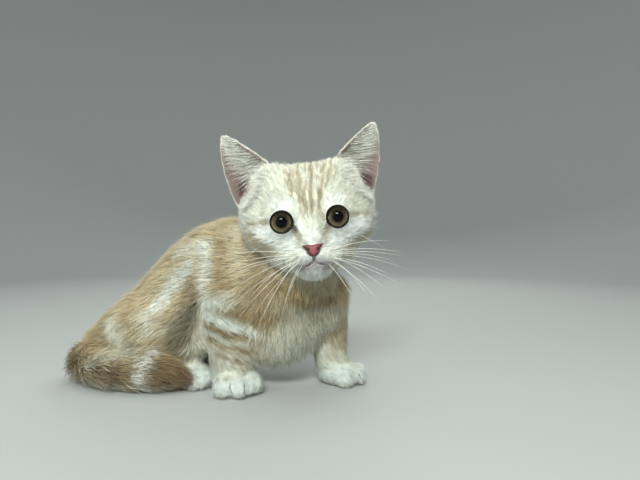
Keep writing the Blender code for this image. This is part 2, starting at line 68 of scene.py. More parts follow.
# The photograph's camera, in pixels of its 640 by 480 frame and millimetres.
PHOTO_MIDDLE = (320.0, 240.0)
PHOTO_FOCUS = 480.0
CAMERA_ON_PLAN = (0.0, -340.0, 104.0)
CAMERA_LENS = 27.0
SENSOR_WIDE = 36.0
KITTEN_AWAY = 345.0  # from the camera, about

EYES = ("eye_right", "eye_left")
FLESH = tuple(sorted(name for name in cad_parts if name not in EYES))
EYES_ON_PLAN = (-6.8, -37.35, 117.0)  # the middle of the two eyes' boxes
HEAD_NOD = 3.0  # degrees

EYE_APART = 34.8
EYE_RADIUS = 9.5
EYE_SHOWS = 6.9  # radius of the opening between the lids
LID_THICK = 1.5
NOSE_PLACE = (0.0, -14.2, -18.0)
EAR_ROOT = (32.7, 19.5, 24.0)
EAR_TIP = np.array((51.8, 24.0, 61.0))


def middle_of(node):
    low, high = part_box(node)
    return (low + high) / 2


EYES_AT = (middle_of("eye_right") + middle_of("eye_left")) / 2
PLAN = np.array(EYES_AT - Vector(EYES_ON_PLAN) * MM)


def head_frame():
    """The head's axes on the plan as columns, from the line through both eyes and the nod."""
    across = (middle_of("eye_left") - middle_of("eye_right")).normalized()
    back = (Vector((0, 1, 0)) - across * across.y).normalized()
    back = Matrix.Rotation(math.radians(HEAD_NOD), 3, across) @ back
    return np.array(Matrix((across, back, across.cross(back))).transposed())


HEAD_AXES = head_frame()
HEAD_ORIGIN = np.array((-6.8, -37.0, 117.0))


def at(*place):
    """A place on the plan, in millimetres, as a place in the frame, in metres."""
    return np.array(place, float) * MM + PLAN


def placed(points):
    return points * MM + PLAN


def to_head(points):
    return (np.asarray(points, float) - HEAD_ORIGIN) @ HEAD_AXES


def from_head(points):
    return np.asarray(points, float) @ HEAD_AXES.T + HEAD_ORIGIN


def both_sides(x, y, z):
    return ((x, y, z), (-x, y, z))


def ramp(values, start, end):
    """0 before start and 1 after end, smooth between them. Start may be the larger one."""
    t = np.clip((values - start) / (end - start), 0.0, 1.0)
    return t * t * (3.0 - 2.0 * t)


def mixed(a, b, share):
    return a + (b - a) * share


def bell(off, wide):
    """1 where off is 0, and next to nothing at twice the width."""
    return np.exp(-((off / wide) ** 2))


def unit(rows):
    return rows / np.maximum(np.linalg.norm(rows, axis=-1, keepdims=True), 1e-9)


def along_surface(ways, normals):
    """Each way laid flat on a surface with these normals."""
    return unit(ways - normals * np.einsum("ij,ij->i", ways, normals)[:, None])


def hex_colour(text):
    """An sRGB hex value as linear red, green and blue."""
    values = np.array([int(text[n:n + 2], 16) / 255 for n in (1, 3, 5)])
    return np.where(values <= 0.04045, values / 12.92, ((values + 0.055) / 1.055) ** 2.4)


# Shapes as distances, in millimetres: how far outside a shape each row of points is.


def ball(points, centre, radii):
    off = points - np.array(centre, float)
    radii = np.array(radii, float)
    near = np.linalg.norm(off / radii, axis=1)
    slope = np.maximum(np.linalg.norm(off / radii**2, axis=1), 1e-6)
    return near * (near - 1.0) / slope


def joined(a, b, soft):
    share = np.maximum(soft - np.abs(a - b), 0.0) / soft
    return np.minimum(a, b) - share * share * soft / 4.0


def carved(a, b, soft):
    """Shape a with shape b taken out of it."""
    share = np.maximum(soft - np.abs(a + b), 0.0) / soft
    return np.maximum(a, -b) + share * share * soft / 4.0


def line_off(points, line):
    """Distance of each point to a line through places of the same dimension."""
    best = np.full(len(points), 1e9)
    line = np.array(line, float)
    for a, b in zip(line[:-1], line[1:]):
        along = b - a
        t = np.clip((points - a) @ along / max(along @ along, 1e-9), 0.0, 1.0)
        best = np.minimum(best, np.linalg.norm(points - a - t[:, None] * along, axis=1))
    return best


# The head's ellipsoids in its own frame: centre, radii and the width of the fillet.
HEAD_SHAPES = [
    ((0.0, 24.0, 5.0), (40.0, 33.0, 33.0), 1.0),
    *[(p, (17.0, 19.0, 20.0), 9.0) for p in both_sides(28.0, 22.0, 6.0)],
    *[(p, (20.0, 22.0, 15.5), 9.0) for p in both_sides(21.5, 15.0, -6.5)],
    ((0.0, 12.0, -22.0), (26.5, 22.0, 14.0), 10.0),
    ((0.0, -1.0, -8.0), (8.5, 11.0, 10.0), 7.0),
    ((0.0, -7.0, -15.0), (7.0, 9.0, 6.5), 5.0),
    *[(p, (9.5, 9.5, 7.6), 3.5) for p in both_sides(7.6, -7.2, -23.6)],
    ((0.0, -5.0, -31.0), (11.8, 8.8, 7.0), 4.0),
    *[(p, (9.0, 8.0, 6.0), 5.0) for p in both_sides(14.0, 3.0, 12.0)],
    *[(p, (12.0, 11.0, 12.0), 11.0) for p in both_sides(21.5, 15.5, 25.5)],
    *[(p, (EYE_RADIUS + LID_THICK,) * 3, 3.5) for p in both_sides(EYE_APART / 2, 0.0, 0.0)],
]
NOSE_TOP = 2.9  # over its place
NOSE_SIDES = 4.9  # half its width level with its place
NOSE_FRONT = 3.3
NOSE_BACK = 3.0
NOSE_FOLD = (0.25, 0.45)  # depth and half width of the line down its middle
NOSTRIL_PIT = (1.1, 0.75)  # depth and half width
NOSTRIL_LINE = ((2.6, 0.1), (4.0, 0.6), (5.6, 1.7))  # x and z from the nose's place
MOUTH = (
    (-8.6, -29.4), (-6.0, -28.4), (-3.0, -27.2), (0.0, -25.6), (3.0, -27.2), (6.0, -28.4), (8.6, -29.4)
)
MOUTH_GROOVE = (0.75, 0.8)  # depth and half width
MOUTH_ENDS = (8.4, 3.5)  # where its groove starts and is full, from the middle
PHILTRUM = ((0.0, -21.0), (0.0, -25.6))
PHILTRUM_GROOVE = (0.6, 0.6)
LOWER_LIP = (0.0, -28.6)
LOWER_LIP_SIZE = (6.5, 1.3)  # half its width and height
LOWER_LIP_OUT = 0.45
EYE_WELL = 4.2  # from the well's floor forward to the eye's middle
EYE_CORNER = ((5.4, -1.7), (7.5, -2.9))  # the dark inner corner's line, from the eye's middle
EYE_CORNER_STARTS = 5.8
EYE_CORNER_WIDE = (1.5, 0.3)  # half its width at its start and its end


def union_of(points, shapes):
    found = None
    for centre, radii, soft in shapes:
        near = ball(points, centre, radii)
        found = near if found is None else joined(found, near, soft)
    return found


def lid_opening(local):
    """How far outside the eyes each point is, and how far outside their dark inner corners."""
    eyes, corners = np.full((2, len(local)), 1e9)
    wide, narrow = EYE_CORNER_WIDE
    for side in (-1, 1):
        flat = local[:, [0, 2]] - (side * EYE_APART / 2, 0.0)
        reach = np.linalg.norm(flat, axis=1)
        eyes = np.minimum(eyes, reach - EYE_SHOWS)
        line = [(-side * x, z) for x, z in EYE_CORNER]
        half = np.clip(wide - 0.5 * (reach - EYE_CORNER_STARTS), narrow, wide)
        corners = np.minimum(corners, line_off(flat, line) - half)
    return eyes, corners


def face_form(local):
    """The head's outer surface with the wells of the eyes, the mouth and the fold under the nose."""
    form = union_of(local, HEAD_SHAPES)
    flat = local[:, [0, 2]]
    front = ramp(local[:, 1], 4.0, 0.0)
    ends = ramp(np.abs(local[:, 0]), *MOUTH_ENDS)
    form = form + front * MOUTH_GROOVE[0] * ends * bell(line_off(flat, MOUTH), MOUTH_GROOVE[1])
    form = form + front * PHILTRUM_GROOVE[0] * bell(line_off(flat, PHILTRUM), PHILTRUM_GROOVE[1])
    lip = np.linalg.norm((flat - LOWER_LIP) / LOWER_LIP_SIZE, axis=1)
    form = form - front * LOWER_LIP_OUT * bell(lip, 1.0)
    well = np.maximum(lid_opening(local)[0], local[:, 1] + EYE_WELL)
    return carved(form, well, 0.7)


def nostril_off(off):
    """Distance of each place from the nose's own to the nearer nostril's line."""
    flat = np.stack((np.abs(off[:, 0]), off[:, 2]), 1)
    return line_off(flat, NOSTRIL_LINE)


def nose_form(local):
    """A pad with a rounded front, a hollowed top edge and sides that run down to a point."""
    off = local - NOSE_PLACE
    wide = np.sqrt(off[:, 0] ** 2 + 0.2)
    front = -NOSE_FRONT + 0.055 * wide**2 + 0.16 * np.maximum(-off[:, 2], 0.0) - off[:, 1]
    sides = (wide - off[:, 2] - NOSE_SIDES) / math.sqrt(2)
    top = off[:, 2] - NOSE_TOP + 0.55 * bell(wide, 2.4)
    form = carved(carved(front, -sides, 1.9), -top, 2.4)
    form = carved(form, NOSE_BACK - off[:, 1], 1.0)
    form = form + NOSTRIL_PIT[0] * bell(nostril_off(off), NOSTRIL_PIT[1])
    return form + NOSE_FOLD[0] * bell(np.abs(off[:, 0]), NOSE_FOLD[1]) * ramp(off[:, 2], 2.5, 0.0)


def drawn(points, form, level, rounds):
    """Points moved onto the surface where the form's distance is level."""
    step = 0.05
    for _ in range(rounds):
        near = form(points)
        slope = np.stack([(form(points + step * np.eye(3)[n]) - near) / step for n in range(3)], 1)
        length = np.maximum(np.einsum("ij,ij->i", slope, slope), 0.05)
        move = np.clip((near - level) / length, -3.0, 3.0)
        points = points - 0.8 * move[:, None] * slope
    return points


# Meshes.

COLOURS = "Coat"  # the attribute that holds a piece's colours
BAKE_MAP = "OFBake"


def show(name, mesh, material, replaced=()):
    """A piece of the kitten from a mesh in the frame's metres."""
    mesh.materials.append(bpy.data.materials[material])
    obj = bpy.data.objects.new(name, mesh)
    bpy.context.scene.collection.objects.link(obj)
    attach(obj, "root")
    if replaced:
        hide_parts(*replaced)
    return obj


def settle(obj):
    """Applies obj's modifiers."""
    graph = bpy.context.evaluated_depsgraph_get()
    mesh = bpy.data.meshes.new_from_object(obj.evaluated_get(graph))
    obj.modifiers.clear()
    old, obj.data = obj.data, mesh
    bpy.data.meshes.remove(old)
    return obj


def places_of(mesh):
    found = np.empty(len(mesh.vertices) * 3)
    mesh.vertices.foreach_get("co", found)
    return (found.reshape(-1, 3) - PLAN) / MM


def set_places(mesh, points):
    mesh.vertices.foreach_set("co", placed(points).ravel())
    mesh.update()


def normals_of(mesh):
    found = np.empty(len(mesh.vertices) * 3)
    mesh.vertex_normals.foreach_get("vector", found)
    return found.reshape(-1, 3)


def ring_of(mesh):
    """Each vertex's neighbours, as one list and where each vertex's part of it starts."""
    edges = np.empty(len(mesh.edges) * 2, int)
    mesh.edges.foreach_get("vertices", edges)
    edges = edges.reshape(-1, 2)
    pairs = np.vstack((edges, edges[:, ::-1]))
    pairs = pairs[np.argsort(pairs[:, 0], kind="stable")]
    starts = np.searchsorted(pairs[:, 0], np.arange(len(mesh.vertices)))
    return pairs[:, 1], starts


def relaxed(values, ring, rounds, share=0.5):
    near, starts = ring
    counts = np.diff(np.append(starts, len(near)))
    shape = (-1,) + (1,) * (values.ndim - 1)
    for _ in range(rounds):
        mean = np.add.reduceat(values[near], starts, axis=0) / counts.reshape(shape)
        values = values + share * (mean - values)
    return values


def smooth_form(points, ring, rounds, keep=None):
    """Smooths without shrinking. Keep is the share of each point's own place that stays."""
    for _ in range(rounds):
        new = relaxed(relaxed(points, ring, 1, 0.5), ring, 1, -0.52)
        points = new if keep is None else mixed(new, points, keep[:, None])
    return points


def triangles_of(mesh):
    mesh.calc_loop_triangles()
    verts = np.empty(len(mesh.loop_triangles) * 3, int)
    mesh.loop_triangles.foreach_get("vertices", verts)
    loops = np.empty(len(mesh.loop_triangles) * 3, int)
    mesh.loop_triangles.foreach_get("loops", loops)
    return verts.reshape(-1, 3), loops.reshape(-1, 3)


def mesh_from(name, points, triangles, colours=None, bake_uv=None, shading=None):
    """A mesh from arrays, with its colours, its bake map and the normals it is shaded by."""
    mesh = bpy.data.meshes.new(name)
    mesh.vertices.add(len(points))
    mesh.vertices.foreach_set("co", placed(points).astype(np.float32).ravel())
    mesh.loops.add(triangles.size)
    mesh.loops.foreach_set("vertex_index", triangles.astype(np.int32).ravel())
    mesh.polygons.add(len(triangles))
    mesh.polygons.foreach_set("loop_start", np.arange(0, triangles.size, 3, dtype=np.int32))
    mesh.update(calc_edges=True)
    mesh.shade_smooth()
    if colours is not None:
        add_colours(mesh, colours)
    if bake_uv is not None:
        layer = mesh.uv_layers.new(name=BAKE_MAP)
        layer.data.foreach_set("uv", bake_uv[triangles.ravel()].astype(np.float32).ravel())
    if shading is not None:
        layer = mesh.attributes.new("custom_normal", "FLOAT_VECTOR", "POINT")
        layer.data.foreach_set("vector", shading.astype(np.float32).ravel())
    return mesh


def add_colours(mesh, colours):
    """Keeps a colour on each of the mesh's points, for its material to read."""
    layer = mesh.color_attributes.new(COLOURS, "FLOAT_COLOR", "POINT")
    rows = np.ones((len(colours), 4), np.float32)
    rows[:, :3] = colours
    layer.data.foreach_set("color", rows.ravel())
    mesh.color_attributes.render_color_index = 0


# The skin.

JOIN = 0.35  # how far the nodes swell to close the gaps between them
HAIR_OVER_DEPTH = 2.6  # a hair's length for each millimetre of the coat's depth

# The coat by the first word of a node's name: depth, hairs a square millimetre and a hair's width.
COAT = {
    "head": (3.2, 2.6, 0.33),
    "nose": (1.2, 0.0, 0.30),
    "eye": (0.1, 0.0, 0.30),
    "ear": (0.55, 2.0, 0.26),
    "neck": (5.2, 1.6, 0.40),
    "chest": (5.4, 1.45, 0.42),
    "loins": (5.4, 1.45, 0.42),
    "foreleg": (3.5, 1.9, 0.36),
    "forepaw": (1.5, 2.8, 0.29),
    "hindleg": (4.8, 1.5, 0.42),
    "hindpaw": (1.5, 2.4, 0.29),
    "tail": (6.6, 2.3, 0.42),
}

# Where the hair runs to, by node: a direction on the plan, or along a line of places.
SPINE = ((-25, -6, 112), (-52, 16, 106), (-72, 26, 100), (-88, 32, 92), (-104, 36, 80), (-118, 38, 66),
         (-132, 40, 52), (-150, 41, 40), (-166, 41, 28))
TAIL = ((-160, 44, 30), (-172, 36, 21), (-174, 20, 14), (-164, 6, 13), (-148, -3, 13.5), (-130, -7, 14),
        (-114, -8.5, 13.5), (-95, -11.5, 9.5))
COMB = {
    "foreleg_right": (1.0, -0.45, -0.65),
    "foreleg_left": (0.35, -0.2, -1.0),
    "forepaw_right": (0.36, -0.85, -0.35),
    "forepaw_left": (0.75, -0.6, -0.35),
    "hindleg_right": (-0.7, -0.3, -0.6),
    "hindleg_left": (-0.7, 0.3, -0.6),
    "hindpaw_right": (0.8, -0.55, -0.35),
    "hindpaw_left": (0.6, 0.7, -0.35),
}


HEAD_WORDS = ("head", "nose", "eye")


def first_word(node):
    return node.split("_")[0]


class Skin:
    """The skin's mesh with what its coat is made from, one row for each vertex."""

    tree = None


def swollen_copy(names):
    """One mesh of the named nodes, each a little larger so that they run into each other."""
    bm = bmesh.new()
    for name in names:
        one = bmesh.new()
        one.from_mesh(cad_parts[name].data)
        bmesh.ops.remove_doubles(one, verts=one.verts, dist=1e-6)
        one.normal_update()
        for v in one.verts:
            v.co += v.normal * JOIN * MM
        part = bpy.data.meshes.new("part")
        one.to_mesh(part)
        one.free()
        bm.from_mesh(part)
        bpy.data.meshes.remove(part)
    mesh = bpy.data.meshes.new("skin")
    bm.to_mesh(mesh)
    bm.free()
    return mesh


def nearest_nodes(points):
    """The index in NODE_NAMES of the node nearest to each point."""
    corners, faces, owner = [], [], []
    for n, name in enumerate(NODE_NAMES):
        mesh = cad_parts[name].data
        base = len(corners)
        corners.extend(v.co.copy() for v in mesh.vertices)
        for polygon in mesh.polygons:
            faces.append([base + v for v in polygon.vertices])
            owner.append(n)
    tree = BVHTree.FromPolygons(corners, faces)
    return np.array([owner[tree.find_nearest(Vector(p))[2]] for p in placed(points)])


NODE_NAMES = sorted(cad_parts)


def finer(mesh, wanted):
    """Halves the edges of the faces whose middle is wanted."""
    bm = bmesh.new()
    bm.from_mesh(mesh)
    bm.faces.ensure_lookup_table()
    middles = np.array([f.calc_center_median() for f in bm.faces])
    chosen = np.nonzero(wanted((middles - PLAN) / MM))[0]
    edges = {edge for n in chosen for edge in bm.faces[n].edges}
    bmesh.ops.subdivide_edges(bm, edges=list(edges), cuts=1, use_grid_fill=True)
    bm.to_mesh(mesh)
    bm.free()


def near_face(points):
    """Whether each point is in the part of the head that needs a finer mesh."""
    local = to_head(points)
    return (local[:, 1] < 9) & (np.abs(local[:, 0]) < 33) & (np.abs(local[:, 2] + 7) < 31)


def near_lids_or_mouth(points):
    """Whether each point is near a lid's rim, an eye's inner corner, the mouth or the philtrum."""
    local = to_head(points)
    flat = local[:, [0, 2]]
    eyes, corners = lid_opening(local)
    lids = (np.abs(eyes) < 2.6) | (corners < 1.0)
    muzzle = (line_off(flat, MOUTH) < 2.2) | (line_off(flat, PHILTRUM) < 2.0)
    return (local[:, 1] < 2) & (lids | muzzle)


def comb_field(points, local, nodes):
    """The way that the hair runs at each point, before it is smoothed."""
    comb = np.zeros((len(points), 3))
    side = np.where(local[:, 0] < 0, -1.0, 1.0)
    from_eye = local * (1.0, 0.0, 1.0) - np.outer(side, (EYE_APART / 2, 0.0, 0.0))
    round_eye = ramp(np.linalg.norm(from_eye, axis=1), EYE_SHOWS + 8.0, EYE_SHOWS)
    round_eye = round_eye * ramp(local[:, 1], 12.0, 4.0)
    away = unit(local - (0.0, -15.0, -17.0)) + 1.3 * unit(from_eye) * round_eye[:, None]
    away = away + np.outer(ramp(local[:, 1], 18.0, 48.0), (0.0, 0.0, -1.3))
    away = away + np.outer(ramp(local[:, 2], -22.0, -36.0), (0.0, 0.7, -0.2))
    head_way = away @ HEAD_AXES.T
    spine, tail = np.array(SPINE, float), np.array(TAIL, float)
    spine_way = along_line(points, spine)
    tail_way = along_line(points, tail)
    below = ramp(height_over(points, spine), 0.0, -60.0)
    chest = ramp(points[:, 0], -58.0, -30.0) * ramp(points[:, 2], 100.0, 78.0)
    spine_way = spine_way * (1.0, 1.0, 0.3)
    body_way = unit(spine_way) + np.outer(0.04 + 0.14 * below, (0.0, 0.0, -1.0))
    body_way = mixed(unit(body_way), np.array((-0.05, 0.05, -1.0)), chest[:, None])
    for n, name in enumerate(NODE_NAMES):
        here = nodes == n
        word = first_word(name)
        if word in HEAD_WORDS:
            comb[here] = head_way[here]
        elif word == "ear":
            side = 1 if name.endswith("left") else -1
            ear_way = (EAR_TIP - EAR_ROOT) * (side, 1, 1)
            comb[here] = unit(ear_way) @ HEAD_AXES.T
        elif word in ("neck", "chest", "loins"):
            comb[here] = body_way[here]
        elif word == "tail":
            comb[here] = tail_way[here]
        else:
            comb[here] = unit(np.array(COMB[name]))
    return comb


def nearest_on_line(points, line):
    """The length of the line that is nearest to each point, and the share of the way along it."""
    best = np.full(len(points), 1e9)
    index = np.zeros(len(points), int)
    share = np.zeros(len(points))
    for n, (a, b) in enumerate(zip(line[:-1], line[1:])):
        along = b - a
        t = np.clip((points - a) @ along / (along @ along), 0.0, 1.0)
        off = np.linalg.norm(points - a - t[:, None] * along, axis=1)
        closer = off < best
        best[closer], index[closer], share[closer] = off[closer], n, t[closer]
    return index, share


def along_line(points, line):
    """The way that the line runs beside each point, turning evenly from one length to the next."""
    index, share = nearest_on_line(points, line)
    ways = unit(np.diff(line, axis=0))
    after = np.minimum(index + 1, len(ways) - 1)
    return unit(mixed(ways[index], ways[after], share[:, None]))


def height_over(points, line):
    index, share = nearest_on_line(points, line)
    return points[:, 2] - mixed(line[index], line[index + 1], share[:, None])[:, 2]


# The ears.

EAR_INNER_ROOT = np.array((20.0, 13.0, 37.0))
EAR_OUTER_ROOT = np.array((45.5, 26.0, 11.0))
EAR_CUP = 16.0


def ear_sheet(side, across, up):
    """Places on the ear's middle sheet: across from -1 inner to 1 outer, up from 0 root to 1 tip."""
    across, up = (np.asarray(values, float)[..., None] for values in (across, up))
    middle = (EAR_INNER_ROOT + EAR_OUTER_ROOT) / 2
    fall = 1 - np.clip(up, 0.0, 1.0)
    wide = np.where(across < 0, fall**0.76, (1 - np.clip(up, 0.0, 1.0) ** 1.8) ** 0.68) + 0.02
    place = middle + (EAR_TIP - middle) * up + (EAR_OUTER_ROOT - EAR_INNER_ROOT) / 2 * wide * across
    place = place + (0.0, 1.0, 0.0) * (EAR_CUP * (1 - 0.85 * up) * (1 - across**2))
    return place * (side, 1.0, 1.0)


def ear_places(local, normals, ear):
    """Across, up, the share inside the cup and the way out across it, for each vertex near an ear."""
    across, up, inside = np.zeros((3, len(local)))
    way = np.zeros((len(local), 3))
    grid = np.array([(a, u) for a in np.linspace(-1, 1, 33) for u in np.linspace(-0.2, 1, 37)])
    for side in (-1, 1):
        sheet = ear_sheet(side, grid[:, 0], grid[:, 1])
        slope_across = ear_sheet(side, grid[:, 0] + 0.02, grid[:, 1]) - sheet
        slope_up = ear_sheet(side, grid[:, 0], grid[:, 1] + 0.02) - sheet
        facing = unit(np.cross(slope_across, slope_up)) * side
        tree = KDTree(len(grid))
        for n, place in enumerate(sheet):
            tree.insert(Vector(place), n)
        tree.balance()
        rows = np.nonzero((ear > 0.02) & (local[:, 0] * side > 0))[0]
        nearest = np.array([tree.find(Vector(p))[1] for p in local[rows]])
        across[rows], up[rows] = grid[nearest].T
        into = np.einsum("ij,ij->i", facing[nearest], normals[rows] @ HEAD_AXES)
        inside[rows] = ramp(into, 0.0, 0.35) * ramp(ear[rows], 0.4, 0.8)
        way[rows] = (unit(slope_across) + 0.6 * unit(slope_up))[nearest] @ HEAD_AXES.T
    return across, up, inside, way


# The lines between the toes of the forepaws, in the photograph's pixels.
TOE_LINES = (
    ((230.5, 394), (229, 388), (229.5, 381)),
    ((246.5, 394), (246, 388), (244.5, 381)),
    ((353, 383), (352, 378), (350, 373)),
    ((361.5, 381), (360, 376), (357.5, 372)),
)
# pits low in the ears' cups, darkened by painted shade
EAR_PITS = (((245, 188), (249, 196)), ((366, 180), (363, 187)))
FLUFF_LINES = (
    ((271, 166), (268, 178), (264, 189), (256, 199), (247, 206)),
    ((336, 160), (341, 172), (348, 183), (356, 191), (366, 196)),
)
EAR_PIT_RADIUS = 5.0
FRINGE = ((-40, 0, 42), (-20, 2, 38), (-4, 6, 42))  # where the chest's hair is longest
TOES_FINE = 3.0  # how far from the lines between the toes the mesh is finer
TOE_GROOVE = (0.6, 1.1)  # depth and half width

# The coat's depth where it isn't its node's own, and how much deeper it is at the cheeks and the fringe.
FACE_COAT = (1.6, 4.0, 0.30)  # depth, hairs a square millimetre and a hair's width
EAR_BACK_DEPTH = 1.1
EAR_BACK_WIDTH = 0.34
MUZZLE_DEPTH = 0.9
BARE_DEPTH = 0.25
NOSE_DEPTH = 1.2
TOE_DEPTH = 0.6
RUFF_DEPTH = 1.2  # at the sides of the cheeks
JOWL_DEPTH = 2.6  # and under them
FRINGE_DEPTH = 3.0
FAR = 99.0  # a distance for points that something doesn't reach

# Rounds of smoothing that blend one part of the body into the next.
EAR_BLEND = 6
HEAD_BLEND = 10
FACE_BLEND = 4
COAT_BLEND = 14
COMB_BLEND = 12


def toes_off(points, toes):
    return np.minimum.reduce([line_off(points, line) for line in toes])


def flesh_mesh(voxel):
    """The nodes as one closed mesh, finer on the face and at the toes, its marks and the toes' lines."""
    obj = bpy.data.objects.new("skin", swollen_copy(FLESH + EYES))
    bpy.context.scene.collection.objects.link(obj)
    remesh = obj.modifiers.new("one_skin", "REMESH")
    remesh.mode = "VOXEL"
    remesh.voxel_size = voxel * MM
    settle(obj)
    mesh = obj.data
    bpy.data.objects.remove(obj)
    keep_largest(mesh)
    finer(mesh, near_face)
    finer(mesh, near_lids_or_mouth)
    marks = Marks(places_of(mesh), mesh)
    toes = [marks.laid(pixels) for pixels in TOE_LINES]
    for _ in range(2):
        finer(mesh, lambda places: toes_off(places, toes) < TOES_FINE)
    return mesh, marks, toes


def make_skin(voxel):
    """The skin under its coat, with all that the coat is grown from."""
    skin = Skin()
    skin.mesh, marks, toes = flesh_mesh(voxel)
    skin.ring = ring_of(skin.mesh)
    points = places_of(skin.mesh)
    skin.nodes = nearest_nodes(points)
    skin.words = np.array([first_word(NODE_NAMES[n]) for n in skin.nodes])
    skin.ear = relaxed((skin.words == "ear").astype(float), skin.ring, EAR_BLEND)
    skin.head = relaxed(np.isin(skin.words, HEAD_WORDS).astype(float), skin.ring, HEAD_BLEND)
    shape_outside(skin, points, marks, toes)
    skin.local = to_head(skin.outer)
    skin.across, skin.up, skin.inside, ear_way = ear_places(skin.local, skin.outer_normals, skin.ear)
    set_coat(skin)
    sink_skin(skin)
    comb = relaxed(comb_field(skin.outer, skin.local, skin.nodes), skin.ring, COMB_BLEND)
    skin.comb = along_surface(mixed(comb, ear_way, skin.inside[:, None]), skin.outer_normals)
    skin.inner = places_of(skin.mesh)
    return skin


def shape_outside(skin, points, marks, toes):
    """The coat's outer surface, with the face's own forms and the grooves between the toes."""
    ring, ear = skin.ring, skin.ear[:, None]
    local = to_head(points)
    face = np.clip(skin.head * 1.6 - 0.5, 0, 1) * ramp(skin.ear, 0.25, 0.0) * ramp(local[:, 1], 44.0, 30.0)
    skin.face = relaxed(face, ring, FACE_BLEND)
    share = skin.face[:, None]
    points = smooth_form(points, ring, 6)
    outer = mixed(points, smooth_form(points, ring, 16), ear)
    for _ in range(3):
        outer = mixed(outer, from_head(drawn(to_head(outer), face_form, 0.0, 3)), share)
        outer = mixed(outer, relaxed(outer, ring, 1), 0.35)
    outer = mixed(outer, from_head(drawn(to_head(outer), face_form, 0.0, 8)), share)
    set_places(skin.mesh, outer)
    normals = unit(relaxed(normals_of(skin.mesh), ring, 2))
    pits = np.minimum(*[line_off(outer, marks.laid(pixels)) for pixels in EAR_PITS])
    facing = -(normals @ HEAD_AXES)[:, 1]
    skin.pits = ramp(pits, EAR_PIT_RADIUS * 1.35, EAR_PIT_RADIUS * 0.6) * ramp(facing, -0.1, 0.3)
    skin.toes = toes_off(outer, toes)
    skin.outer = outer - normals * (TOE_GROOVE[0] * bell(skin.toes, TOE_GROOVE[1]))[:, None]
    skin.outer_normals = normals


def set_coat(skin):
    """The coat's depth, its hairs' number and width, and where the skin is bare."""
    face, flat = skin.face, skin.local[:, [0, 2]]
    aside, behind, up = np.abs(skin.local[:, 0]), skin.local[:, 1], skin.local[:, 2]
    depth, density, width = relaxed(np.array([COAT[word] for word in skin.words]), skin.ring, COAT_BLEND).T
    backs = skin.ear * (1.0 - skin.inside) * ramp(np.abs(skin.across), 0.98, 0.8) * ramp(skin.up, 0.98, 0.86)
    depth = mixed(depth, np.maximum(depth, EAR_BACK_DEPTH), backs)
    width = mixed(width, EAR_BACK_WIDTH, backs)
    front = face * ramp(behind, 26.0, -4.0)
    depth, density, width = (mixed(*pair, front) for pair in zip((depth, density, width), FACE_COAT))
    eyes, corners = (np.where(behind < 2, off, FAR) for off in lid_opening(skin.local))
    lids = np.minimum(eyes, corners + 0.35)
    bare = ramp(lids, 1.5, 0.7)
    mouth = line_off(flat, MOUTH) + 0.8 * ramp(aside, 3.0, 8.4)
    lips = np.where(behind < 2, np.minimum(mouth, line_off(flat, PHILTRUM) - 0.35), FAR)
    muzzle = np.where(behind < 0, ramp(line_off(flat, MOUTH[1:-1]), 8.0, 2.0), 0.0)
    on_nose = ramp(np.where(behind < -4, nose_form(skin.local), FAR), 0.45, 0.0)
    depth = mixed(depth, MUZZLE_DEPTH, muzzle)
    depth = mixed(depth, BARE_DEPTH, np.maximum(bare, ramp(lips, 2.2, 0.7)))
    depth = mixed(depth, NOSE_DEPTH, on_nose)
    depth = mixed(depth, TOE_DEPTH, bell(skin.toes, 1.2))
    ruff = face * ramp(aside, 20.0, 30.0) * ramp(up, 12.0, 2.0) * ramp(behind, -2.0, 10.0)
    jowl = face * ramp(aside, 12.0, 20.0) * ramp(up, -12.0, -20.0) * ramp(behind, -4.0, 4.0)
    depth = depth + RUFF_DEPTH * ruff * ramp(up, -26.0, -14.0) + JOWL_DEPTH * jowl
    depth = depth + FRINGE_DEPTH * ramp(line_off(skin.outer, FRINGE), 20.0, 8.0) * (1.0 - face)
    under = ramp(-skin.outer_normals[:, 2], 0.3, 0.8) * (1.0 - face)
    density = density * (1.0 - 0.5 * under)
    density = density * (1 - np.maximum.reduce((bare, ramp(lips, 0.9, 0.4), on_nose)))
    density = np.where((skin.words == "eye") | (eyes < 0.9), density * (lids > 1.0), density)
    skin.density = density * (1.0 - 0.6 * skin.inside) * (1.0 - 0.8 * skin.pits)
    skin.depth, skin.width = depth, width
    skin.lids, skin.lips, skin.on_nose = lids, lips, on_nose


def sink_skin(skin):
    """Lays the skin inside the coat's outer surface by the coat's depth."""
    inner = skin.outer - skin.outer_normals * skin.depth[:, None]
    face = from_head(drawn(to_head(inner), face_form, -skin.depth, 4))
    inner = mixed(inner, face, skin.face[:, None])
    calm = skin.face * (near_lids_or_mouth(skin.outer) | (skin.lids < 3))
    set_places(skin.mesh, smooth_form(inner, skin.ring, 3, keep=np.clip(calm, 0, 1)))


def keep_largest(mesh):
    """Leaves only the mesh's largest connected surface."""
    bm = bmesh.new()
    bm.from_mesh(mesh)
    left, shells = set(bm.verts), []
    while left:
        shell, edge = [], [left.pop()]
        while edge:
            vert = edge.pop()
            shell.append(vert)
            for e in vert.link_edges:
                other = e.other_vert(vert)
                if other in left:
                    left.remove(other)
                    edge.append(other)
        shells.append(shell)
    shells.sort(key=len)
    bmesh.ops.delete(bm, geom=[v for shell in shells[:-1] for v in shell], context="VERTS")
    bm.to_mesh(mesh)
    bm.free()


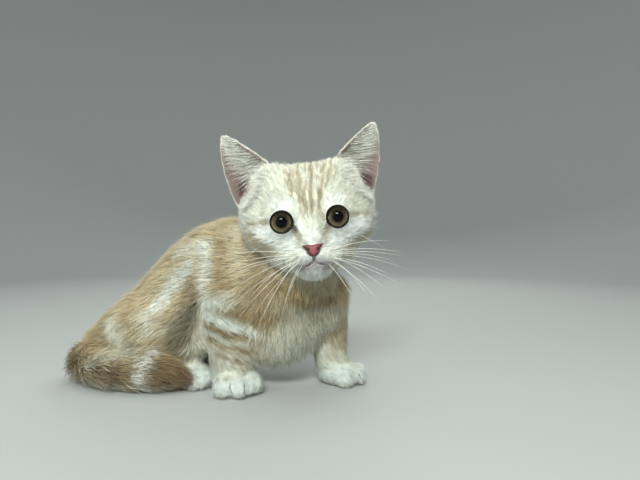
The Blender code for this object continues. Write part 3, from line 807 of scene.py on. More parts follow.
def unwrap(obj):
    """Unwraps the skin over its own shape, for its own bake map and for the roots of its coat."""
    view = bpy.context.view_layer
    for other in bpy.context.selected_objects:
        other.select_set(False)
    obj.data.uv_layers.new(name=BAKE_MAP)
    view.objects.active = obj
    obj.select_set(True)
    bpy.ops.object.mode_set(mode="EDIT")
    bpy.ops.mesh.select_all(action="SELECT")
    bpy.ops.uv.smart_project(angle_limit=math.radians(66), island_margin=0.002)
    bpy.ops.object.mode_set(mode="OBJECT")
    obj.select_set(False)
    uv = np.empty(len(obj.data.loops) * 2)
    obj.data.uv_layers[BAKE_MAP].data.foreach_get("uv", uv)
    return uv.reshape(-1, 2)


# The coat's colours.

GINGER = "#B7A57F"
PALE_GINGER = "#D6C9A8"
DEEP_GINGER = "#988259"
BROWN = "#6F5B3F"
CREAM = "#DADACA"
WHITE = "#EEF1EA"
SOFT_WHITE = "#E2E4D8"
# the chest's pale coat, darkened as painted shade under the head
SHADED_BREAST = "#C8C7B6"
# the forelegs' cream, darkened as painted shade on the lower body
SHADED_LEG_CREAM = "#CECCBA"
# the paws' white, darkened as painted shade on the lower body
SHADED_PAW_WHITE = "#E2E8E0"
# painted shade in the flank's hollow between the thigh and the foreleg
FLANK_HOLLOW_SHADE = "#776E5D"
EAR_HAIR = "#EDEAE2"
EAR_FELT = "#A89E96"
EAR_INSIDE = "#8C7974"
# painted shade low in the ears' cups and at their pits
EAR_CUP_SHADE = "#55393B"
LID_RIM = "#0F0906"
# painted shade in the eyes' inner corners
EYE_CORNER_SHADE = "#4E4136"
LIP = "#46302D"
# painted shade under the lips and over the chin
LIP_SHADOW = "#9A9190"
# painted shade between the nose and the mouth
UNDER_NOSE_SHADOW = "#A8A6A8"
# the chin's white, greyed as painted shade under the mouth
SHADED_CHIN_WHITE = "#D3DAD6"
NOSE_SKIN = "#9D5A5E"
# the darker skin at the nose leather's edges, which also stands in for painted shade along its top
NOSE_EDGE_AND_SHADE = "#6B3B3C"
# painted shade inside the nostrils' openings
NOSTRIL_SHADOW = "#2A1213"
# painted shade in the gaps between the toes
TOE_GAP_SHADE = "#6E5E4E"
NECK_GINGER = "#B9A984"
TAIL_GINGER = "#8D7850"
PAD = "#A5776F"
WHISKER = "#F8F4EA"

# The coat's colour by the first word of a node's name; the forelegs' and paws' colours hold painted shade.
BASE = {
    "head": CREAM,
    "nose": WHITE,
    "eye": CREAM,
    "ear": PALE_GINGER,
    "neck": NECK_GINGER,
    "chest": GINGER,
    "loins": GINGER,
    "foreleg": SHADED_LEG_CREAM,
    "forepaw": SHADED_PAW_WHITE,
    "hindleg": GINGER,
    "hindpaw": SHADED_PAW_WHITE,
    "tail": TAIL_GINGER,
}

# Markings as strokes drawn over the photograph, each laid onto the coat from the camera, with painted shade
# and a painted highlight where noted: colour, radius in millimetres, strength, the stroke's pixels and
# whether the far flank has it too.
BOTH = "both flanks"
FACE_MARKS = (
    # white fur on the nose's bridge, brightened as a painted highlight
    (WHITE, 6.5, 0.9, ((313, 236), (314, 243))),
    (WHITE, 3.0, 0.8, ((299, 216), (300, 228))),
    (SOFT_WHITE, 12.0, 0.9, ((306, 258), (328, 257))),
    # the chin's white, greyed as painted shade under the mouth
    (SHADED_CHIN_WHITE, 8.0, 0.8, ((315, 274), (316, 280))),
    # painted shade between the nose and the mouth
    (UNDER_NOSE_SHADOW, 3.2, 0.75, ((300, 267), (307, 262.5), (315, 260), (323, 262), (331, 266))),
    (WHITE, 8.0, 0.95, ((264, 232), (274, 239), (286, 240))),
    (WHITE, 8.0, 0.95, ((340, 238), (350, 230), (362, 224))),
    (WHITE, 4.5, 0.8, ((274, 205), (286, 203))),
    (WHITE, 4.5, 0.8, ((332, 199), (343, 198))),
    (PALE_GINGER, 13.0, 0.12, ((300, 168), (325, 166))),
    (DEEP_GINGER, 1.0, 0.6, ((283.5, 168), (285, 180), (287.5, 190))),
    (DEEP_GINGER, 1.3, 0.75, ((289.8, 163), (289.1, 176), (291.6, 188), (293, 197))),
    (DEEP_GINGER, 0.9, 0.6, ((294.2, 164), (294.6, 178), (296.6, 192))),
    (DEEP_GINGER, 1.3, 0.75, ((298.2, 161), (299.2, 172), (298.6, 184), (300.6, 203))),
    (DEEP_GINGER, 1.1, 0.7, ((304.6, 180), (303.6, 192), (304.8, 211))),
    (DEEP_GINGER, 1.4, 0.75, ((310.4, 161), (311.4, 174), (310.4, 188), (310.3, 213))),
    (DEEP_GINGER, 1.0, 0.6, ((304.8, 162), (305.6, 172))),
    (DEEP_GINGER, 1.1, 0.7, ((317.0, 176), (318.4, 190), (318.0, 207))),
    (DEEP_GINGER, 1.3, 0.75, ((323.5, 159), (322.6, 172), (321.0, 186), (319.8, 199))),
    (DEEP_GINGER, 0.9, 0.6, ((317.6, 160), (317.0, 168))),
    (DEEP_GINGER, 1.2, 0.65, ((330.4, 160), (328.8, 172), (326.0, 186))),
    (DEEP_GINGER, 1.0, 0.5, ((336.4, 163), (334.5, 176))),
    (DEEP_GINGER, 2.2, 0.4, ((301, 211), (301.5, 217))),
    (DEEP_GINGER, 2.2, 0.4, ((320, 209), (320, 215))),
    (DEEP_GINGER, 1.8, 0.65, ((269, 221), (258, 224), (246, 225))),
    (DEEP_GINGER, 1.8, 0.65, ((350, 213), (361, 214.5), (370, 212.5))),
    (GINGER, 6.0, 0.6, ((247, 238), (257, 247), (268, 254))),
    (DEEP_GINGER, 2.4, 0.4, ((250, 236), (259, 242), (269, 248))),
    (GINGER, 5.0, 0.4, ((372, 232), (362, 241), (352, 250), (348, 260))),
    (DEEP_GINGER, 2.0, 0.3, ((364, 236), (356, 242), (349, 246))),
    (DEEP_GINGER, 2.4, 0.6, ((294, 232), (300, 240))),
    (DEEP_GINGER, 2.3, 0.55, ((329, 230), (326, 238))),
    # painted shade under the lips and over the chin
    (LIP_SHADOW, 2.9, 0.85, ((304, 269.5), (309, 267.5), (315, 265), (322, 266.5), (327, 269))),
    (LIP_SHADOW, 3.6, 0.4, ((307, 274), (322, 273))),
    (LIP, 0.6, 0.7, ((315, 257), (315, 262.8))),
    (LIP, 0.6, 0.35, ((303.5, 267.5), (309, 265), (315, 262.8), (321, 264), (328, 266.5))),
    # painted shade in the eyes' inner corners
    (EYE_CORNER_SHADE, 1.8, 0.9, ((293.8, 221), (294.6, 226.0), (295.0, 230))),
    (EYE_CORNER_SHADE, 1.5, 0.85, ((326.2, 219.5), (326.8, 223.0), (327.6, 226.5))),
)
BODY_MARKS = (
    (PALE_GINGER, 26.0, 0.5, ((180, 255), (150, 300), (120, 335)), BOTH),
    (DEEP_GINGER, 6.0, 0.4, ((196, 232), (160, 262), (125, 300), (92, 335)), BOTH),
    # the chest's pale coat, darker as painted shade under the head
    (SHADED_BREAST, 17.0, 0.75, ((296, 322), (312, 334), (300, 345))),
    (SHADED_BREAST, 13.0, 0.9, ((276, 350), (312, 352))),
    (SHADED_BREAST, 11.0, 0.7, ((334, 300), (338, 325))),
    # the collar's ginger stripes and the dark patch under the chin's left side, made darker as painted shade
    # under the head
    (GINGER, 8.0, 0.9, ((262, 285), (290, 297), (318, 301), (343, 294))),
    (DEEP_GINGER, 3.4, 0.9, ((264, 284), (284, 294), (306, 306), (332, 304))),
    (DEEP_GINGER, 5.0, 0.6, ((250, 262), (262, 278), (272, 290))),
    (PALE_GINGER, 8.0, 0.35, ((234, 232), (240, 255), (232, 285))),
    (PALE_GINGER, 5.0, 0.45, ((240, 232), (247, 262), (262, 282))),
    (DEEP_GINGER, 5.0, 0.6, ((222, 243), (219, 268), (222, 290))),
    (DEEP_GINGER, 5.5, 0.6, ((244, 240), (252, 268), (256, 300))),
    (DEEP_GINGER, 3.6, 0.9, ((214, 311), (236, 314), (259, 324), (282, 317))),
    (SOFT_WHITE, 6.5, 0.85, ((203, 246), (205, 262), (203, 287), (203, 307), (206, 326)), BOTH),
    (SOFT_WHITE, 6.0, 0.75, ((214, 305), (226, 301))),
    (WHITE, 3.9, 0.85, ((205, 321), (222, 324), (240, 330), (254, 334))),
    (SOFT_WHITE, 6.5, 0.5, ((178, 252), (196, 247), (204, 246)), BOTH),
    (SOFT_WHITE, 5.6, 0.95, ((188, 267), (174, 281), (163, 298), (156, 307)), BOTH),
    (DEEP_GINGER, 4.5, 0.5, ((192, 281), (182, 300)), BOTH),
    (CREAM, 5.0, 0.85, ((143, 314), (148, 328)), BOTH),
    (DEEP_GINGER, 3.5, 0.45, ((128, 306), (124, 322)), BOTH),
    (CREAM, 2.4, 0.5, ((140, 338), (152, 333), (166, 331))),
    (CREAM, 8.5, 0.9, ((108, 326), (121, 344)), BOTH),
    # painted shade in the crease between the thigh and the rump
    (BROWN, 2.2, 0.75, ((124, 322), (126.5, 341), (134, 351))),
    # painted shade in the hollow between the thigh and the foreleg
    (FLANK_HOLLOW_SHADE, 9.5, 0.95, ((188, 314), (181, 327), (176, 343))),
    (CREAM, 4.0, 0.7, ((186, 352), (196, 345))),
    (DEEP_GINGER, 2.2, 0.95, ((203, 324), (214, 331), (228, 337), (252, 341))),
    (BROWN, 1.1, 0.7, ((204, 328), (214, 334), (226, 338))),
    (GINGER, 1.8, 0.6, ((203, 341), (218, 347), (236, 351), (254, 352))),
    (DEEP_GINGER, 1.4, 0.95, ((202, 337), (214, 344), (230, 349), (250, 352))),
    (DEEP_GINGER, 1.4, 0.95, ((214, 354), (232, 361), (252, 364))),
    (BROWN, 1.5, 0.8, ((226, 378), (237, 375.5), (254, 369.5))),
    (CREAM, 3.5, 0.7, ((214, 376), (226, 377), (240, 373))),
    (DEEP_GINGER, 2.8, 0.85, ((343, 329), (331, 339), (321, 348))),
    (DEEP_GINGER, 1.8, 0.6, ((347, 346), (336, 352), (326, 358))),
    # cream at the top of the left forepaw, also painted shade on that paw
    (CREAM, 5.0, 0.7, ((324, 362), (340, 360), (354, 362))),
    (GINGER, 8.0, 0.75, ((345, 322), (349, 340))),
    (GINGER, 10.0, 0.9, ((70, 342), (80, 349), (94, 350))),
    (BROWN, 8.0, 0.7, ((98, 370), (118, 377))),
    (BROWN, 8.0, 0.75, ((158, 376), (180, 381))),
    (CREAM, 2.6, 0.75, ((84, 371), (98, 359), (118, 354), (136, 353))),
    (WHITE, 3.2, 0.9, ((151, 354), (140, 369), (137, 380), (147, 391))),
    (PAD, 1.8, 0.8, ((187, 378), (192, 383))),
)
HAIR_SHOWN = 1.5  # how far a hair's visible part is from its root, for each millimetre of depth
MARK_FADE = (1.55, 0.35)  # where a stroke's colour ends and is full, in its radius
MARK_WAVES = ((9.0, 1.8), (2.6, 0.5))  # length and height of the waves in a stroke's edge
WAVE_SEED = 11  # without a seed, Blender's noise vectors change with the clock
BASE_BLEND = 18  # rounds of smoothing where one colour of the coat runs into the next
# the upper lid's rim is wider partly as painted shadow under the lid
LID_RIM_WIDE = (0.34, 0.85)  # the dark rim at the lower and the upper lid

CROWN_STRIPES = (-40.0, -26.0, -13.0, 0.0, 13.0, 26.0, 40.0)  # degrees to the side of the crown's middle
CROWN_SWEEP = (84.0, 105.0, 125.0, 145.0, 165.0, 185.0)  # degrees from the face over the top to the nape
CROWN_STRIPE_FADE = (2.6, 0.8)
CROWN_CENTRE = (0.0, 24.0, 5.0)


class Marks:
    """Lays strokes from the photograph onto the coat's outer surface."""

    def __init__(self, points, mesh):
        triangles, _ = triangles_of(mesh)
        self.tree = BVHTree.FromPolygons([Vector(p) for p in points], triangles.tolist())

    def on_coat(self, u, v):
        eye = Vector(CAMERA_ON_PLAN)
        way = Vector((u - PHOTO_MIDDLE[0], PHOTO_FOCUS, PHOTO_MIDDLE[1] - v)).normalized()
        place = self.tree.ray_cast(eye, way)[0]
        if place is None:
            place = self.tree.find_nearest(eye + way * KITTEN_AWAY)[0]
        return np.array(place)

    def over_crown(self, aside):
        """A line over the head from its crown to the nape, a few degrees to the side."""
        aside = math.radians(aside)
        centre = from_head(CROWN_CENTRE)
        line = []
        for turn in np.radians(CROWN_SWEEP):
            way = (math.sin(aside), -math.cos(aside) * math.cos(turn), math.cos(aside) * math.sin(turn))
            way = Vector(np.array(way) @ HEAD_AXES.T)
            line.append(self.tree.ray_cast(Vector(centre) + way * 90.0, -way)[0])
        return np.array(line)

    def laid(self, pixels, steps=4):
        dense = []
        for a, b in zip(pixels[:-1], pixels[1:]):
            for n in range(steps):
                dense.append(mixed(np.array(a, float), np.array(b, float), n / steps))
        dense.append(np.array(pixels[-1], float))
        return np.array([self.on_coat(*p) for p in dense])


def mirrored_on_body(places):
    """Places on the right flank as places on the left one, across the spine's own plane."""
    line = np.array(SPINE, float)
    index, share = nearest_on_line(places, line)
    centre = mixed(line[index], line[index + 1], share[:, None])
    ways = along_line(places, line)
    out = unit(np.cross(ways, (0.0, 0.0, 1.0)))
    return places - 2 * np.einsum("ij,ij->i", places - centre, out)[:, None] * out


def wavering(points, scale, reach):
    """Points moved a little by a smooth noise, so that no marking has a ruled edge."""
    moved = [noise.noise_vector(Vector(p) / scale) for p in points]
    return points + np.array(moved) * reach


def tinted(colours, tint, share):
    """Each row's colour moved towards a tint by the row's share."""
    return mixed(colours, hex_colour(tint), share[:, None])


def paint(skin):
    """The colour of skin and coat at each vertex of the skin."""
    colours = np.array([hex_colour(BASE[word]) for word in skin.words])
    colours = relaxed(colours, skin.ring, BASE_BLEND)
    marks = Marks(skin.outer, skin.mesh)
    places = skin.outer + skin.comb * (HAIR_SHOWN * skin.depth)[:, None]
    noise.seed_set(WAVE_SEED)
    for scale, reach in MARK_WAVES:
        places = wavering(places, scale, reach)
    lower = ramp(skin.outer_normals[:, 2], -0.2, -0.8) * (skin.face < 0.5)
    colours = tinted(colours, CREAM, 0.7 * lower)
    behind = skin.head * ramp(skin.local[:, 1], 12.0, 34.0) * ramp(skin.local[:, 2], -24.0, 4.0)
    colours = tinted(colours, PALE_GINGER, 0.85 * behind)
    for aside in CROWN_STRIPES:
        near = line_off(places, marks.over_crown(aside))
        colours = tinted(colours, DEEP_GINGER, 0.7 * behind * ramp(near, *CROWN_STRIPE_FADE))
    for colour, radius, strength, pixels, *both in BODY_MARKS + FACE_MARKS:
        stroke = marks.laid(pixels)
        near = line_off(places, stroke)
        if both:
            near = np.minimum(near, line_off(places, mirrored_on_body(stroke)))
        fade = [radius * share for share in MARK_FADE]
        colours = tinted(colours, colour, strength * ramp(near, *fade))
    # painted shade in the gaps between the toes, on the coat
    colours = tinted(colours, TOE_GAP_SHADE, 0.45 * ramp(skin.toes, 0.9, 0.2))
    rim = skin.ear * np.maximum(ramp(np.abs(skin.across), 0.84, 0.97), ramp(skin.up, 0.9, 0.98))
    # the ears' cups in their felt's colour, darker at their pits as painted shade
    colours = tinted(colours, EAR_FELT, np.maximum(skin.inside, 0.7 * skin.pits))
    return tinted(colours, CREAM, 0.8 * rim)


def paint_bare(skin, colours):
    """The bare skin's colours over the coat's: lid rims, lips, the nose's edge, the ears' insides with
    painted shade low in their cups and at their pits, and painted shade between the toes.
    """
    # painted shade low in the middle of each ear's cup, and at its pits
    deep = ramp(skin.up, 0.5, 0.1) * bell(skin.across - 0.1, 0.55)
    ear = mixed(hex_colour(EAR_INSIDE), hex_colour(EAR_CUP_SHADE), deep[:, None])
    colours = mixed(colours, ear, skin.inside[:, None])
    colours = tinted(colours, EAR_CUP_SHADE, 0.8 * skin.pits)
    # painted shade in the gaps between the toes, on the bare skin
    colours = tinted(colours, TOE_GAP_SHADE, 0.9 * ramp(skin.toes, 0.9, 0.2))
    thick = mixed(*LID_RIM_WIDE, ramp(skin.local[:, 2], -4.5, 5.0))
    colours = tinted(colours, LID_RIM, ramp(skin.lids / thick, 1.15, 0.6))
    colours = tinted(colours, LIP, 0.9 * ramp(skin.lips, 0.75, 0.25))
    return tinted(colours, NOSE_SKIN, skin.on_nose)


# The coat's tufts.

TUFT_SEED = 11
BAKE_PATCH = 0.003
MARK_SCATTER = 0.29  # how far a tuft's colour is taken from its root, for each millimetre of depth
MARK_SCATTER_LEGS = 0.45  # the share of it on the forelegs, whose bands are narrow
PIECE_LIMIT = 199000  # triangles
LONG_HAIRS = 0.06  # the share of tufts that stand out of the coat
LONG_HAIR = 1.35  # how much longer they are
CURL = 0.4  # the share of its lift that each part of a tuft keeps from the part before
# the root's darker tone is painted shade deep in the coat
HAIR_ROOT_SHADE_AND_TIP = (0.84, 1.06)  # at its root and its tip
HAIR_CORNERS = ((-0.9, -0.35), (0.9, -0.35), (0.0, 0.6))  # of its section, across and out


class Tufts:
    """Hairs to be grown, one row each: roots, out and along, length, width, lift, colours and uv."""

    def __init__(self, roots, out, along, length, width, lift, colours, uv):
        self.roots, self.out, self.length, self.width = roots, out, length, width
        self.along = along_surface(along, out)
        self.lift, self.colours, self.uv = lift, colours, uv


def tuft_paths(tufts, rng, rings, stray):
    """Each tuft's places from its root to its tip, bending down to the skin as it goes."""
    count = len(tufts.roots)
    across = unit(np.cross(tufts.out, tufts.along))
    along = unit(tufts.along + across * rng.normal(0.0, stray, (count, 1)))
    lift = tufts.lift + rng.normal(0.0, 0.6 * stray, count)
    over_floor = rng.uniform(0.2, 0.7, count)
    place = tufts.roots - tufts.out * 0.3
    paths = [place]
    for n in range(rings):
        low = lift * CURL**n
        way = along * np.cos(low)[:, None] + tufts.out * np.sin(low)[:, None]
        way = unit(way + across * rng.normal(0.0, 0.35 * stray, (count, 1)))
        place = place + way * (tufts.length / rings)[:, None]
        place[:, 2] = np.maximum(place[:, 2], over_floor)
        paths.append(place)
    return np.stack(paths, 1)


def locks(roots, rng, size):
    """For each tuft, the tuft whose lock it belongs to."""
    if len(roots) < 3 * size:
        return np.arange(len(roots))
    chosen = rng.permutation(len(roots))[: max(3, int(len(roots) / size))]
    tree = KDTree(len(chosen))
    for n, index in enumerate(chosen):
        tree.insert(Vector(roots[index]), n)
    tree.balance()
    return chosen[np.array([tree.find(Vector(p))[1] for p in roots])]


def triangles_of_hair(rings):
    return 6 * rings - 3


def hair_mesh(name, paths, out, width, colours, uv=None):
    """Three-sided hairs along paths that taper to their tips, darker at their roots as painted shade deep in
    the coat, joined in one mesh.

    A hair's underside has its own points, shaded by normals of their own, so that it isn't dark where it
    shows from behind.
    """
    count, rings = len(paths), paths.shape[1] - 1
    corners = 5 * rings + 2
    points, shading, tints = np.empty((3, count, corners, 3))
    for n in range(rings):
        way = unit(paths[:, n + 1] - paths[:, n])
        across = unit(np.cross(out, way))
        up = np.cross(way, across)
        half = width[:, None] / 2 * (1.0 - (n / rings) ** 2)
        for k, (x, z) in enumerate(HAIR_CORNERS + HAIR_CORNERS[:2]):
            points[:, 5 * n + k] = paths[:, n] + half * (across * x + up * z)
            above = out * 0.9 + across * x * 0.6 + up * z * 0.4
            shading[:, 5 * n + k] = unit(above if k < 3 else across * x * 0.5 - up)
        tints[:, 5 * n : 5 * n + 5] = (colours * mixed(*HAIR_ROOT_SHADE_AND_TIP, (n / rings) ** 0.5))[:, None]
    points[:, -2:] = paths[:, -1:]
    shading[:, -2] = unit(out + 0.2 * way)
    shading[:, -1] = -up
    tints[:, -2:] = (colours * HAIR_ROOT_SHADE_AND_TIP[1])[:, None]
    faces = []
    for n in range(rings):
        for a, b, tip in ((3, 4, 1), (1, 2, 0), (2, 0, 0)):
            a, b = 5 * n + a, 5 * n + b
            if n + 1 < rings:
                faces += [(a, b, b + 5), (a, b + 5, a + 5)]
            else:
                faces.append((a, b, 5 * rings + tip))
    triangles = (np.arange(count)[:, None, None] * corners + np.array(faces)).reshape(-1, 3)
    points, shading = points.reshape(-1, 3), shading.reshape(-1, 3)
    tints = np.clip(tints, 0.0, 0.97).reshape(-1, 3)
    if uv is None:
        return mesh_from(name, points, triangles, tints, shading=shading)
    bake = np.empty((count, corners, 2))
    for n in range(corners):
        turn = 2 * math.pi * n / 3
        reach = BAKE_PATCH / 2 * (1.0 - 0.9 * n / corners)
        bake[:, n] = uv + (reach * math.cos(turn), reach * math.sin(turn))
    return mesh_from(name, points, triangles, tints, bake.reshape(-1, 2), shading)


def tuft_mesh(name, tufts, rng, rings, lock, pull, stray, shade):
    """Tufts along their paths, drawn together in locks that each have a tone of their own."""
    count = len(tufts.roots)
    paths = tuft_paths(tufts, rng, rings, stray)
    owner = locks(tufts.roots, rng, lock)
    for n in range(1, rings + 1):
        follow = paths[owner, n] - paths[owner, 0] + tufts.roots
        gathered = mixed(follow, paths[owner, n], 0.75)
        paths[:, n] = mixed(paths[:, n], gathered, pull * (n / rings) ** 0.7)
    tone = 1.0 + shade * rng.normal(0.0, 1.0, count)[owner] + 0.5 * shade * rng.normal(0.0, 1.0, count)
    colours = tufts.colours * np.clip(tone, 0.6, 1.35)[:, None]
    return hair_mesh(name, paths, tufts.out, tufts.width, colours, tufts.uv)


# The coat's pieces: what of the skin each grows on, bends a tuft, lift in degrees, tufts a lock, their pull,
# how far tufts stray from the comb and how far their tones differ.
COAT_PIECES = {
    "coat_face": (lambda s: s.head & s.forward & ~s.low, 2, 34.0, 8.0, 0.55, 0.16, 0.11),
    "coat_cheeks": (lambda s: s.head & s.forward & s.low, 2, 30.0, 7.0, 0.5, 0.18, 0.1),
    "coat_crown": (lambda s: s.head & ~s.forward, 2, 30.0, 7.0, 0.45, 0.2, 0.1),
    "coat_ears": (lambda s: s.ear, 2, 27.0, 9.0, 0.45, 0.28, 0.15),
    "coat_neck": (lambda s: s.neck, 2, 34.0, 8.0, 0.35, 0.2, 0.09),
    "coat_back": (lambda s: s.torso & s.upper, 2, 32.0, 8.0, 0.35, 0.19, 0.1),
    "coat_belly": (lambda s: s.torso & ~s.upper, 2, 33.0, 8.0, 0.4, 0.22, 0.1),
    "coat_forelegs": (lambda s: s.foreleg, 2, 25.0, 8.0, 0.4, 0.15, 0.07),
    "coat_forepaws": (lambda s: s.forepaw, 2, 30.0, 5.0, 0.3, 0.16, 0.07),
    "coat_hindlegs": (lambda s: s.hindleg, 2, 32.0, 8.0, 0.35, 0.2, 0.1),
    "coat_hindpaws": (lambda s: s.hindpaw, 2, 30.0, 5.0, 0.3, 0.16, 0.07),
    "coat_tail": (lambda s: s.tail, 3, 44.0, 7.0, 0.45, 0.3, 0.17),
}


def regions_of(skin, triangles):
    """Which triangles of the skin each part of the coat grows from."""
    first = triangles[:, 0]
    words = skin.words[first]
    regions = Skin()
    for word in ("ear", "neck", "foreleg", "forepaw", "hindleg", "hindpaw", "tail"):
        setattr(regions, word, words == word)
    regions.head = np.isin(words, HEAD_WORDS)
    regions.torso = np.isin(words, ("chest", "loins"))
    regions.forward = skin.local[first, 1] < 14.0
    regions.low = skin.local[first, 2] < -2.0
    regions.upper = skin.outer_normals[first, 2] > 0.1
    return regions


def scattered(rng, wanted, most):
    """Triangles drawn by the number of tufts each wants, and a place on each as its corners' weights."""
    here = np.nonzero(wanted > 0)[0]
    reach = np.cumsum(wanted[here])
    count = int(min(reach[-1], most))
    draw = (np.arange(count) + rng.random(count)) / count * reach[-1]
    face = here[np.minimum(np.searchsorted(reach, draw), len(here) - 1)]
    a, b = rng.random((2, count))
    over = a + b > 1
    a, b = np.where(over, 1 - a, a), np.where(over, 1 - b, b)
    return face, np.stack((1 - a - b, a, b), 1)


def grow_coat(skin, share):
    """All pieces of the coat, with tufts drawn by area and density on the skin.

    A tuft takes its colour from a spot a little way from its root, so that markings run into each other.
    """
    rng = np.random.default_rng(TUFT_SEED)
    triangles, loops = triangles_of(skin.mesh)
    regions = regions_of(skin, triangles)
    corner = skin.inner[triangles]
    area = np.linalg.norm(np.cross(corner[:, 1] - corner[:, 0], corner[:, 2] - corner[:, 0]), axis=1) / 2
    wanted = area * skin.density[triangles].mean(1) * share
    for name, (chosen, rings, lift, lock, pull, stray, shade) in COAT_PIECES.items():
        most = PIECE_LIMIT // triangles_of_hair(rings)
        face, weights = scattered(rng, np.where(chosen(regions), wanted, 0.0), most)
        count = len(face)

        def spread(values):
            return np.einsum("ij,ij...->i...", weights, values[triangles[face]])

        long = np.where(rng.random(count) < LONG_HAIRS, LONG_HAIR, 1.0)
        depth = spread(skin.depth)
        length = depth * HAIR_OVER_DEPTH * (0.8 + 0.35 * rng.random(count)) * long
        length = length + 0.6 * ramp(depth, 0.4, 1.2)
        roots = spread(skin.inner)
        scatter = MARK_SCATTER * np.clip(depth - 1.5, 0.4, 4.0)
        scatter = scatter * (MARK_SCATTER_LEGS if name == "coat_forelegs" else 1.0)
        spots = nearest_on_skin(skin, roots + scatter[:, None] * rng.normal(0.0, 1.0, (count, 3)))
        tufts = Tufts(
            roots,
            unit(spread(skin.outer_normals)),
            spread(skin.comb),
            length,
            spread(skin.width) * (1.0 + rng.normal(0.0, 0.12, count)),
            np.radians(lift * np.where(long > 1, 1.15, 1.0)),
            skin.colours[spots] * (1.0 + rng.normal(0.0, 0.015, (count, 3))),
            np.einsum("ij,ijk->ik", weights, skin.uv[loops[face]]),
        )
        mesh = tuft_mesh(name, tufts, rng, rings, lock, pull, stray, shade)
        show(name, mesh, FUR)


EAR_HAIRS = 1150  # in each ear, from its inner edge across the cup
EAR_FLUFF = 420  # at each ear's root
EAR_FLUFF_WAYS = ((0.7, -0.25, 0.75), (0.9, -0.35, 0.3))  # where it points at the top and the bottom
EAR_FLUFF_LONG = (15.0, 8.5)  # its length there
EAR_HAIR_ARCH = 0.11  # how far up the ear their middles rise, in its length
EAR_HAIR_WIDE = (0.14, 0.26)


def nearest_on_skin(skin, points):
    """The index of the skin's point nearest to each place."""
    if skin.tree is None:
        skin.tree = KDTree(len(skin.inner))
        for n, place in enumerate(skin.inner):
            skin.tree.insert(Vector(place), n)
        skin.tree.balance()
    return np.array([skin.tree.find(Vector(p))[1] for p in points])


def ear_hair_paths(side, rng, rings):
    """Long hairs from the ear's inner edge, over its cup and out, fanning up and down."""
    up = 0.93 * rng.random(EAR_HAIRS) ** 0.85
    across = rng.uniform(-0.99, -0.2, EAR_HAIRS)
    reach = mixed(0.95, 1.5, ramp(up, 0.05, 0.6))
    out = np.minimum(across + 0.3 + reach * rng.random(EAR_HAIRS) ** 1.25, 0.93)
    fan = 0.36 * (out - across) * (1.0 - up) ** 0.7 * ramp(up, -0.1, 0.3)
    rise = up + fan + rng.normal(0.0, 0.025, EAR_HAIRS)
    start, end = ear_sheet(side, across, up), ear_sheet(side, out, np.minimum(rise, 1.0))
    paths = []
    for n in range(rings + 1):
        t = n / rings
        arch = EAR_HAIR_ARCH * math.sin(math.pi * t) * (1.0 - up)
        sheet = ear_sheet(side, mixed(across, out, t), np.minimum(mixed(up, rise, t) + arch, 1.0))
        place = mixed(sheet, mixed(start, end, t), 0.55)
        paths.append(place - (0.0, 1.0 + 2.6 * t * (1.4 - t), 0.0))
    return np.stack(paths, 1)


def ear_fluff_paths(skin, side, rng, rings):
    """Fluff along the front of the ear's root, that rises and arches outwards over the cup."""
    line = FLUFF_LINES[0 if side < 0 else 1]
    coat = Marks(skin.outer, skin.mesh).laid(line, 12)
    t = rng.random(EAR_FLUFF) ** 0.9
    place = coat[(t * (len(coat) - 1)).astype(int)] + rng.normal(0.0, 0.9, (EAR_FLUFF, 3))
    way = mixed(np.array(EAR_FLUFF_WAYS[0]), np.array(EAR_FLUFF_WAYS[1]), t[:, None])
    way = unit(way + rng.normal(0.0, 0.12, way.shape)) * (side, 1, 1)
    length = mixed(*EAR_FLUFF_LONG, t) * rng.uniform(0.6, 1.15, EAR_FLUFF)
    paths = [to_head(skin.inner[nearest_on_skin(skin, place)])]
    for _ in range(rings):
        way = unit(way + (0.1 * side, 0.14, -0.24))
        paths.append(paths[-1] + way * (length / rings)[:, None])
    return np.stack(paths, 1)


def grow_ear_hairs(skin):
    """The long pale hairs over the cups of both ears."""
    rng = np.random.default_rng(TUFT_SEED + 1)
    rings = 4
    paths = [ear_hair_paths(side, rng, rings) for side in (-1, 1)]
    paths += [ear_fluff_paths(skin, side, rng, rings) for side in (-1, 1)]
    paths = np.concatenate(paths)
    count = len(paths)
    world = from_head(paths.reshape(-1, 3)).reshape(paths.shape)
    rows = nearest_on_skin(skin, world[:, 0])
    out = unit(np.array((0.0, -1.0, 0.35)) @ HEAD_AXES.T + rng.normal(0.0, 0.12, (count, 3)))
    tone = 0.95 + rng.normal(0.0, 0.14, (count, 1))
    colours = mixed(hex_colour(EAR_HAIR), hex_colour(CREAM), rng.random((count, 1))) * tone
    width = rng.uniform(*EAR_HAIR_WIDE, count)
    mesh = hair_mesh("ear_hairs", world, out, width, colours, skin.vertex_uv[rows])
    return show("ear_hairs", mesh, FUR)


# Materials. The sizes of their patterns are in millimetres.

FUR, SKIN, NOSE, EYE, WHISKERS, FLOOR = (
    "kitten_fur", "kitten_skin", "moist_nose_skin", "kitten_eye", "whisker_keratin", "pale_floor"
)
FUR_STREAK = 1000 / 260  # a lock of kitten fur is about 4 mm wide
SKIN_HAIR = 1000 / 900  # between short hairs: real ones are finer than the render shows
NOSE_PEBBLE = 1000 / 1600  # the pebbles of a cat's nose leather
FLOOR_GRAIN = 1000 / 700


def add_node(tree, kind, settings=(), links=(), **inputs):
    """Adds a node with its settings, its links from other sockets and its inputs' values."""
    node = tree.nodes.new(kind)
    for name, value in dict(settings).items():
        setattr(node, name, value)
    for name, value in inputs.items():
        node.inputs[name.replace("_", " ")].default_value = value
    for name, socket in dict(links).items():
        tree.links.new(socket, node.inputs[name])
    return node


